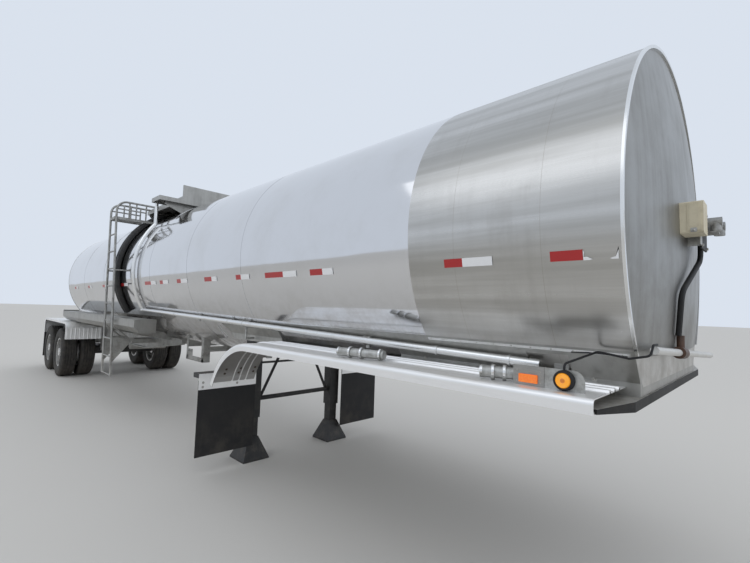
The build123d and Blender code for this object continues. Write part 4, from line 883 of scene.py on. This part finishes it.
def belly_hanger():
    """Open frame of posts and beams that hangs from the tank in front of the rails."""
    start = rear, side, foot = Vector((0.66, -0.53, 0.860))
    rise = tank_height(side + 0.03) - foot
    posts, plates = shapes(2)
    for low, high in (
        # posts with their flanges, lower rail, cross beams to the middle
        ((0.544, 0, 0), (0.550, 0.095, rise)), ((0.490, 0, 0), (0.545, 0.006, rise - 0.010)),
        ((0, 0, 0), (0.050, 0.006, rise - 0.010)), ((0, 0, 0), (0.550, 0.006, 0.060)),
        ((0, 0, 0), (0.550, 0.060, 0.006)), ((0.500, 0, 0.170), (0.549, 0.531, 0.176)),
        ((0.543, 0.004, 0.140), (0.549, 0.531, 0.212)), ((0, 0, 0.170), (0.006, 0.531, 0.225)),
    ):
        slab(posts, low, high, start=start)
    slab(plates, (0.004, 0.003, 0.050), (0.190, 0.009, 0.150), start=start)
    for low, high in ((0.475, 0.565), (-0.015, 0.070)):
        slab(plates, (low, -0.004, rise - 0.012), (high, 0.090, rise + 0.020), start=start)
    for x, z in ((0.520, 0.042), (0.520, 0.095), (0.075, 0.125), (0.140, 0.125)):
        bolt(plates, (rear + x, side - 0.001, foot + z), RIGHT, 0.010, 0.008)
    add_pair("hanger_posts", posts, "grey_frame")
    add_pair("hanger_plates", plates, "grey_frame")


def bolster_straps():
    """Leaning flat bar over the rear end of the support box's flared wall."""
    top, foot = Vector((2.270, -0.8385, 1.4050)), Vector((2.362, -0.7760, 1.2850))
    thick = Vector(WALL_OUT) * 0.009
    wide = (foot - top).cross(thick).normalized() * 0.024
    shape = bmesh.new()
    prism(shape, *([place - wide, place + wide, place + wide + thick, place - wide + thick]
                   for place in (top, foot)))
    add_pair("bolster_straps", shape, "fender_aluminium")


def edge_strips():
    """Riveted strip along the jacket's lower edge, and the thin wire under it."""
    strip, rivets, wire = shapes(3)
    low, high, first, pitch = 1.462, 1.476, 0.05, 0.105
    middle = (low + high) / 2
    wall_strip(strip, 0.016, 1.125, low, high, SHEET_RADIUS + SKIN, 2)
    rim = bmesh.ops.extrude_face_region(strip, geom=strip.faces[:])["geom"]
    bmesh.ops.translate(strip, vec=(0, 0.0025, 0.002), verts=only(bmesh.types.BMVert, rim))
    side = -tank_side(middle, SHEET_RADIUS + 0.001)
    for index in range(11):
        lathe(rivets, ((0.0038, 0.0), (0.0034, 0.0016), (0.0018, 0.0026), (0.0, 0.003)),
              (at(first + pitch * index), side, middle), (0, side, middle - AXIS_Z), 12)
    points = []
    for index in range(13):
        z = low - 0.001 + 0.005 * sin(index * pi / 12)
        points.append((at(0.03 + 0.02 * index), -tank_side(z, SHEET_RADIUS + 0.0035), z))
    tube(wire, points, 0.0022, 8)
    add_pair("edge_strips", strip, "bright_trim")
    add_pair("edge_rivets", rivets, "nut_metal")
    add_pair("edge_wires", wire, "hose_rubber")


def support_bolts():
    """Bolts of the flap hangers, under the fenders' tails and on the support box."""
    hanger, fender, box = shapes(3)
    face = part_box("flap_hangers")[1].x
    for y, z in ((-0.999, 0.885), (-0.825, 0.893), (-0.646, 0.8915), (-1.179, 0.8795),
                 (-1.181, 0.837), (-0.824, 0.844)):
        bolt(hanger, (face, y, z), AHEAD, 0.009, 0.008)
    bend_x, bend_z, reach = 3.565, 0.650, 0.666
    for turn, places in ((54.5, (-1.097, -0.950, -0.800)), (59.0, (-1.098, -0.957, -0.803))):
        way = Vector((-sin(radians(turn)), 0, cos(radians(turn))))
        for y in places:
            bolt(fender, Vector((bend_x, y, bend_z)) + way * reach, -way, 0.009, 0.009)
    for x in (6.12, 5.62, 5.12, 4.62):
        bolt(box, (x, -0.8041, 1.3407), WALL_OUT, 0.0085, 0.008)
    add_pair("hanger_bolts", hanger, "nut_metal")
    add_pair("fender_bolts", fender, "dark_fastener")
    add_pair("box_bolts", box, "nut_metal")


class TRAILER_OT_supports(bpy.types.Operator):
    """Finishes the support box, coupler, legs, fenders and flaps, and adds their small parts"""
    bl_idname = "trailer.supports"
    bl_label = "Supports and fenders"

    def execute(self, context):
        dress(dull_sheet="front_bolster fender_brackets", coupler_black="coupler_plate",
              worn_steel="kingpin", black_steel="landing_legs landing_brace",
              fender_aluminium="front_fenders flap_hangers", black_rubber="front_mud_flaps")
        for make in (bay_plates, belly_hanger, bolster_straps, edge_strips, support_bolts):
            make()
        return {"FINISHED"}


def document_box():
    """Bare lid and latch on the document box's right-hand face, and the grey plate beside it."""
    low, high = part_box("paper_box")
    start, (_, wide, tall) = (high.x, low.y, low.z), high - low
    ledge = FRONT_X + 0.06 - high.x
    lid, latch, plate = shapes(3)
    slab(lid, (-0.070, -0.004, 0.012), (-0.008, 0.001, tall - 0.008), 0.0018, start)
    slab(lid, (-0.062, -0.0055, 0.034), (-0.018, -0.003, tall - 0.018), 0.001, start)
    slab(latch, (-0.054, -0.012, 0.004), (-0.026, -0.002, 0.026), 0.002, start)
    lathe(latch, ((0.0055, 0.0), (0.0055, 0.004), (0.0035, 0.006), (0.0, 0.0064)),
          (high.x - 0.040, low.y - 0.0115, low.z + 0.013), RIGHT, 18)
    for rear, side in ((-0.034, wide - 0.010), (ledge, wide + 0.056)):
        slab(plate, (rear, side, -0.040), (-0.030, wide + 0.060, tall - 0.030), 0.0012, start)
    add_mesh("box_lid", lid, "beige_box")
    add_mesh("box_latch", latch, "nut_metal")
    add_mesh("box_side_plate", plate, "cast_aluminium")


def stub_rings():
    """Bright rings round the open hose stubs, and a near-black cup inside each as painted shade in its
    bore.
    """
    rings, shade_cups = shapes(2)
    height = FENDER_TOP + 0.0375
    for rear, rear_y, front, front_y in ((1.640, 1.140, 1.310, 1.052),
                                         (0.595, 1.135, 0.400, 1.052)):
        start = Vector((at(rear), -rear_y, height))
        run = Vector((at(front), -front_y, height)) - start
        for share in (0.25, 0.5, 0.9):
            lathe(rings, ((0.0345, 0.001), (0.0357, 0.0025), (0.0357, 0.0135), (0.0345, 0.015)),
                  start + run * share, run)
        lathe(rings, ((0.0238, 0.0), (0.0242, -0.0008), (0.0278, -0.0008), (0.0283, 0.0004),
                      (0.0283, 0.012)), start, run)
        # A closed near-black cup a little way into each stub: painted shade in the bore.
        lathe(shade_cups, ((0.0237, 0.002), (0.0234, 0.06), (0.0, 0.062)), start, run)
    add_mesh("stub_rings", rings, "bright_trim")
    add_mesh("stub_sleeves", shade_cups, "dark_fastener")


def pipe_unions():
    """Unions and rings round the side pipe, and the stems that hold it."""
    front, bore = Vector((5.875, -0.8166, 1.385)), 0.0245
    run = Vector((-0.004, -0.9257, 1.530)) - front
    shape = bmesh.new()
    for x, reach, radius in ((3.006, 0.131, 0.0290), (3.010, 0.014, 0.0335), (2.884, 0.014, 0.0335),
                             (2.660, 0.020, 0.0335), (1.890, 0.020, 0.0320), (4.660, 0.060, 0.0320),
                             (4.664, 0.012, 0.0360), (4.612, 0.012, 0.0360)):
        foot = front + run * ((x - front.x) / run.x)
        lathe(shape, ((bore, 0.0), (radius - 0.001, 0.0), (radius, 0.001), (radius, reach - 0.001),
                      (radius - 0.001, reach), (bore, reach)), foot, run)
    for x, drop in ((2.940, 0.150), (4.632, 0.052), (1.880, 0.040)):
        place = front + run * ((x - front.x) / run.x)
        low = raised(place, -drop)
        tube(shape, [raised(place, -0.018), low], 0.011, 16)
        if drop > 0.1:
            tube(shape, [raised(low, 0.006), (low.x, -0.781, low.z + 0.006)], 0.010, 16)
        else:
            lathe(shape, ((0.0, 0.0), (0.015, 0.0), (0.015, 0.018), (0.0, 0.018)), low, UP, 6)
    add_mesh("pipe_unions", shape, "cast_aluminium")


def manway_fittings():
    """Six clamps round the lid's rim, a vent in its middle and a lifting handle."""
    low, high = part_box("manway_lid")
    radius = (high.y - low.y) / 2
    centre = Vector((high.x - radius, 0, high.z))
    clamps, fittings = shapes(2)
    for turn in spokes(6):
        way = Vector((cos(turn), sin(turn), 0))
        rim = centre + way * (radius - 0.030)
        bolt(clamps, rim, UP, 0.013, 0.020, turn)
        nose = raised(rim - way * 0.055, 0.034)
        tube(clamps, [raised(rim, 0.020), raised(rim, 0.030), nose], 0.006)
    wide, middle, narrow = radius - 0.062, radius - 0.070, radius - 0.078
    lathe(fittings, ((wide, 0.0), (wide, 0.005), (middle, 0.007), (narrow, 0.005), (narrow, 0.0)),
          centre, UP, 48)
    lathe(fittings, ((0.044, 0.0), (0.044, 0.012), (0.036, 0.016), (0.036, 0.028), (0.040, 0.030),
                     (0.038, 0.040), (0.020, 0.044), (0.0, 0.044)), centre, UP)
    grip = ((-0.055, 0.0), (-0.055, 0.026), (-0.045, 0.034), (0.045, 0.034), (0.055, 0.026),
            (0.055, 0.0))
    tube(fittings, [centre + Vector((0.205, y, z)) for y, z in grip], 0.006)
    add_mesh("lid_clamps", clamps, "nut_metal", "lid")
    add_mesh("lid_fittings", fittings, "cast_aluminium", "lid")


def door_latch():
    """Paddle latch on the hose carrier's end door."""
    low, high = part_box("carrier_door")
    start = (low.x, (low.y + high.y) / 2, low.z)
    shape = bmesh.new()
    slab(shape, (-0.004, -0.045, 0.040), (0.001, 0.045, 0.100), 0.0015, start)
    slab(shape, (-0.012, -0.016, 0.048), (-0.003, 0.016, 0.088), 0.002, start)
    for y in (-0.036, 0.036):
        bolt(shape, Vector(start) + Vector((-0.004, y, 0.070)), BACK, 0.005, 0.004)
    add_mesh("door_latch", shape, "nut_metal", "door")


def coupling_bolts():
    """Corner bolts of the coupling bracket and flanges round its castings."""
    face = FRONT_X + 0.152
    heads, flanges = shapes(2)
    for y in (-0.046, 0.146):
        for z in (2.056, 2.254):
            bolt(heads, (face, y, z), AHEAD, 0.008, 0.008)
    for y in (-0.030, 0.130):
        lathe(flanges, ((0.026, 0.0), (0.036, 0.0), (0.036, 0.010), (0.030, 0.014), (0.026, 0.014)),
              (face, y, 2.181), AHEAD, 28)
    add_mesh("coupling_bolts", heads, "nut_metal")
    add_mesh("coupling_flanges", flanges, "cast_aluminium")


class TRAILER_OT_lines(bpy.types.Operator):
    """Finishes the pipes, hoses, ladder, deck and carrier, and adds the document box's plates"""
    bl_idname = "trailer.lines"
    bl_label = "Lines, ladder and deck"

    def execute(self, context):
        dress(cast_aluminium="hose_stubs manway_collar manway_lid", pipe_metal="side_pipe",
              hose_rubber="drain_hoses", grey_frame="ladder side_platform",
              dull_sheet="top_strip spill_box hose_carrier carrier_door", beige_box="paper_box",
              couplings="coupling_bracket")
        for make in (document_box, stub_rings, pipe_unions, manway_fittings, door_latch,
                     coupling_bolts):
            make()
        return {"FINISHED"}


def lamp_rings():
    """Black grommets round the tail lamps."""
    low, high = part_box("tail_lamps")
    shape = bmesh.new()
    for y in (-0.56, -0.44, 0.44, 0.56):
        lathe(shape, ((0.0495, 0.0), (0.0585, 0.0), (0.0585, 0.014), (0.056, 0.021),
                      (0.0515, 0.023), (0.0495, 0.021)),
              (high.x, y, (low.z + high.z) / 2), BACK, 40)
    add_mesh("tail_lamp_rings", shape, "black_rubber")


def treaded_tyres(axle, side):
    """Both tyres of one end, with four grooves round them and lugs on the shoulders."""
    low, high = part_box(f"tyres_{axle}_{side}")
    centre = (low + high) / 2
    radius = (high.z - low.z) / 2
    floor = radius - sizes().tread_depth
    half, notch, steps, pitch = 0.14, 0.007, 240, 4
    wall = [(0.2865, 0.104), (0.300, 0.106), (0.306, 0.117), (0.318, 0.1255), (0.345, 0.1345),
            (0.350, 0.1365), (0.356, 0.1350), (0.385, 0.1395), (0.420, 0.1385), (0.450, 0.1350),
            (0.455, 0.1362), (0.461, 0.1345), (0.478, 0.1270), (0.492, 0.1195), (0.502, 0.1120)]
    profile = wall + [(radius - 0.0035, 0.104), (radius - 0.0015, 0.092)]
    for groove in (0.068, 0.024):
        profile += [(radius - 0.001, groove + 0.0075), (floor, groove + 0.0045),
                    (floor, groove - 0.0045), (radius - 0.0005, groove - 0.0075)]
    profile += [(out, -along) for out, along in reversed(profile)]
    lugs = range(len(wall) - 3, len(wall) + 1)
    notched = set(lugs) | {len(profile) - 1 - index for index in lugs}
    shape = bmesh.new()
    for y in (low.y + half, high.y - half):
        rings = []
        for step, turn in enumerate(spokes(steps)):
            way = Vector((cos(turn), 0, sin(turn)))
            ring = []
            for index, (out, along) in enumerate(profile):
                cut = notch if index in notched and step % pitch == 0 else 0.0
                foot = Vector((centre.x, y + along, centre.z))
                ring.append(shape.verts.new(foot + way * (out - cut)))
            rings.append(ring)
        for here, after in zip(rings, rings[1:] + rings[:1]):
            for index in range(len(profile) - 1):
                shape.faces.new((here[index], here[index + 1], after[index + 1], after[index]))
    end = f"wheels_{axle}_{side}_end"
    piece = add_mesh(f"treaded_tyres_{axle}_{side}", shape, "tyre", end, 50.0)
    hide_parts(f"tyres_{axle}_{side}")


def wheel_nuts(axle, side):
    """Ten nuts on studs, the hub flange's small bolts and the cap's face."""
    low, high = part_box(f"wheels_{axle}_{side}")
    way, tip = (1, high.y) if side == "left" else (-1, low.y)
    place = Vector(((low.x + high.x) / 2, tip, (low.z + high.z) / 2))
    normal = Vector((0, way, 0))
    stud_circle, stud_depth, flange_circle, flange_depth = 0.1375, 0.188, 0.0975, 0.0605
    nuts, cap = shapes(2)

    def ring(count, start, radius, depth):
        """Turns and places of fasteners round the hub."""
        for turn in spokes(count, start):
            yield turn, place + Vector((cos(turn), 0, sin(turn))) * radius - normal * depth

    for turn, spot in ring(10, 0.0, stud_circle, stud_depth):
        bolt(nuts, spot, normal, sizes().nut_radius, 0.026, turn)
        lathe(nuts, ((0.009, 0.0), (0.009, 0.044), (0.007, 0.046), (0.0, 0.046)), spot, normal, 12)
    for turn, spot in ring(8, 0.5, flange_circle, flange_depth):
        bolt(nuts, spot, normal, 0.0075, 0.008, turn)
    lathe(cap, ((0.0, 0.0004), (0.030, 0.0004), (0.033, -0.0015), (0.050, -0.0015),
                (0.053, 0.0003), (0.072, 0.0003), (0.078, -0.001), (0.0855, -0.006),
                (0.0855, -0.016)), place, normal, 40)
    end = f"wheels_{axle}_{side}_end"
    add_mesh(f"wheel_nuts_{axle}_{side}", nuts, "nut_metal", end)
    add_mesh(f"hub_cap_{axle}_{side}", cap, "bright_trim", end)


class TRAILER_OT_running_gear(bpy.types.Operator):
    """Finishes the frame and axles, makes the treaded tyres and the wheel nuts, and dresses the tail"""
    bl_idname = "trailer.running_gear"
    bl_label = "Running gear"

    def execute(self, context):
        dress(grey_frame="subframe", black_steel="leaf_springs axles", fender_aluminium="rear_fenders",
              black_rubber="rear_mud_flaps", bumper="rear_bumper", red_lamp="tail_lamps",
              cast_aluminium="discharge_pipe")
        lamp_rings()
        for axle, side in ENDS:
            dress(wheel_metal=f"wheels_{axle}_{side}")
            treaded_tyres(axle, side)
            wheel_nuts(axle, side)
        return {"FINISHED"}


def add_world(context, studio):
    """Even light for surfaces, and the pale backdrop for the camera and for metal."""
    world = bpy.data.worlds.new("studio")
    context.scene.world = world
    world.use_nodes = True
    add, link = world.node_tree.nodes.new, world.node_tree.links.new
    world.node_tree.nodes.clear()
    out, mix = add("ShaderNodeOutputWorld"), add("ShaderNodeMixShader")
    path, most = add("ShaderNodeLightPath"), add("ShaderNodeMath")
    most.operation = "MAXIMUM"
    for place, tone, strength in ((1, (0.93, 0.96, 1.0), studio.fill), (2, studio.sky, 1.0)):
        ground = add("ShaderNodeBackground")
        ground.inputs["Color"].default_value = (*tone, 1.0)
        ground.inputs["Strength"].default_value = strength
        link(ground.outputs[0], mix.inputs[place])
    link(path.outputs["Is Camera Ray"], most.inputs[0])
    link(path.outputs["Is Glossy Ray"], most.inputs[1])
    link(most.outputs[0], mix.inputs[0])
    link(mix.outputs[0], out.inputs[0])


def add_camera(context, studio):
    """The camera at the photograph's place, with its small roll."""
    place, yaw, pitch, roll = (6.7711, -2.9733, 1.6335), 2.3463, 0.0684, 0.0325
    ahead = Vector((cos(yaw) * cos(pitch), sin(yaw) * cos(pitch), sin(pitch)))
    right = ahead.cross(Vector(UP)).normalized()
    up = right.cross(ahead)
    wide = right * cos(roll) + up * sin(roll)
    tall = up * cos(roll) - right * sin(roll)
    data = bpy.data.cameras.new("camera")
    data.sensor_width, data.lens, data.clip_end = 36.0, studio.lens, 400.0
    camera = add_object("camera", data)
    turn = Matrix((wide, tall, -ahead)).transposed().to_4x4()
    camera.matrix_world = Matrix.Translation(place) @ turn
    context.scene.camera = camera


class TRAILER_OT_stage(bpy.types.Operator):
    """Plain pale floor, soft lights and the camera"""
    bl_idname = "trailer.stage"
    bl_label = "Studio"

    def execute(self, context):
        studio = context.scene.trailer_studio
        shape = bmesh.new()
        bmesh.ops.create_grid(shape, x_segments=1, y_segments=1, size=160)
        floor = mesh_object("floor", shape, "pale_floor")
        add_world(context, studio)
        middle = Vector((0.0, 0.0, 1.5))
        for name, place, size, share in (
            # place, size and share of the key's power
            ("key", (2.0, -9.0, 11.0), (14.0, 7.0), 1.0),
            ("front_fill", (15.0, 3.0, 6.0), (8.0, 5.0), 0.25),
        ):
            data = bpy.data.lights.new(name, "AREA")
            data.shape = "RECTANGLE"
            data.size, data.size_y = size
            data.energy = studio.key * share
            lamp = add_object(name, data)
            lamp.location = place
            lamp.rotation_euler = (middle - Vector(place)).to_track_quat("-Z", "Y").to_euler()
        add_camera(context, studio)
        context.scene.view_settings.view_transform = "Standard"
        return {"FINISHED"}


class TRAILER_PT_panel(bpy.types.Panel):
    """Lists the trailer's pieces in the sidebar"""
    bl_label = "Tank trailer"
    bl_idname = "TRAILER_PT_panel"
    bl_space_type = "VIEW_3D"
    bl_region_type = "UI"
    bl_category = "Trailer"

    def draw(self, context):
        for operator in OPERATORS:
            self.layout.operator(operator.bl_idname)
        for group in GROUPS:
            box = self.layout.box()
            settings = getattr(context.scene, group)
            for name in settings.__annotations__:
                box.prop(settings, name)


OPERATORS = (TRAILER_OT_jackets, TRAILER_OT_tape, TRAILER_OT_markers, TRAILER_OT_supports,
             TRAILER_OT_lines, TRAILER_OT_running_gear, TRAILER_OT_stage)
GROUPS = {"trailer_colours": TrailerColours, "trailer_sizes": TrailerSizes,
          "trailer_studio": TrailerStudio}
CLASSES = (*GROUPS.values(), *OPERATORS, TRAILER_PT_panel)


def register():
    for item in CLASSES:
        bpy.utils.register_class(item)
    for name, group in GROUPS.items():
        setattr(bpy.types.Scene, name, bpy.props.PointerProperty(type=group))


def unregister():
    for name in GROUPS:
        delattr(bpy.types.Scene, name)
    for item in reversed(CLASSES):
        bpy.utils.unregister_class(item)


def main():
    """Registers the add-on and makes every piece."""
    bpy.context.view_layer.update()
    register()
    for name in ("jackets", "tape", "markers", "supports", "lines", "running_gear", "stage"):
        getattr(bpy.ops.trailer, name)()


if __name__ == "__main__":
    main()
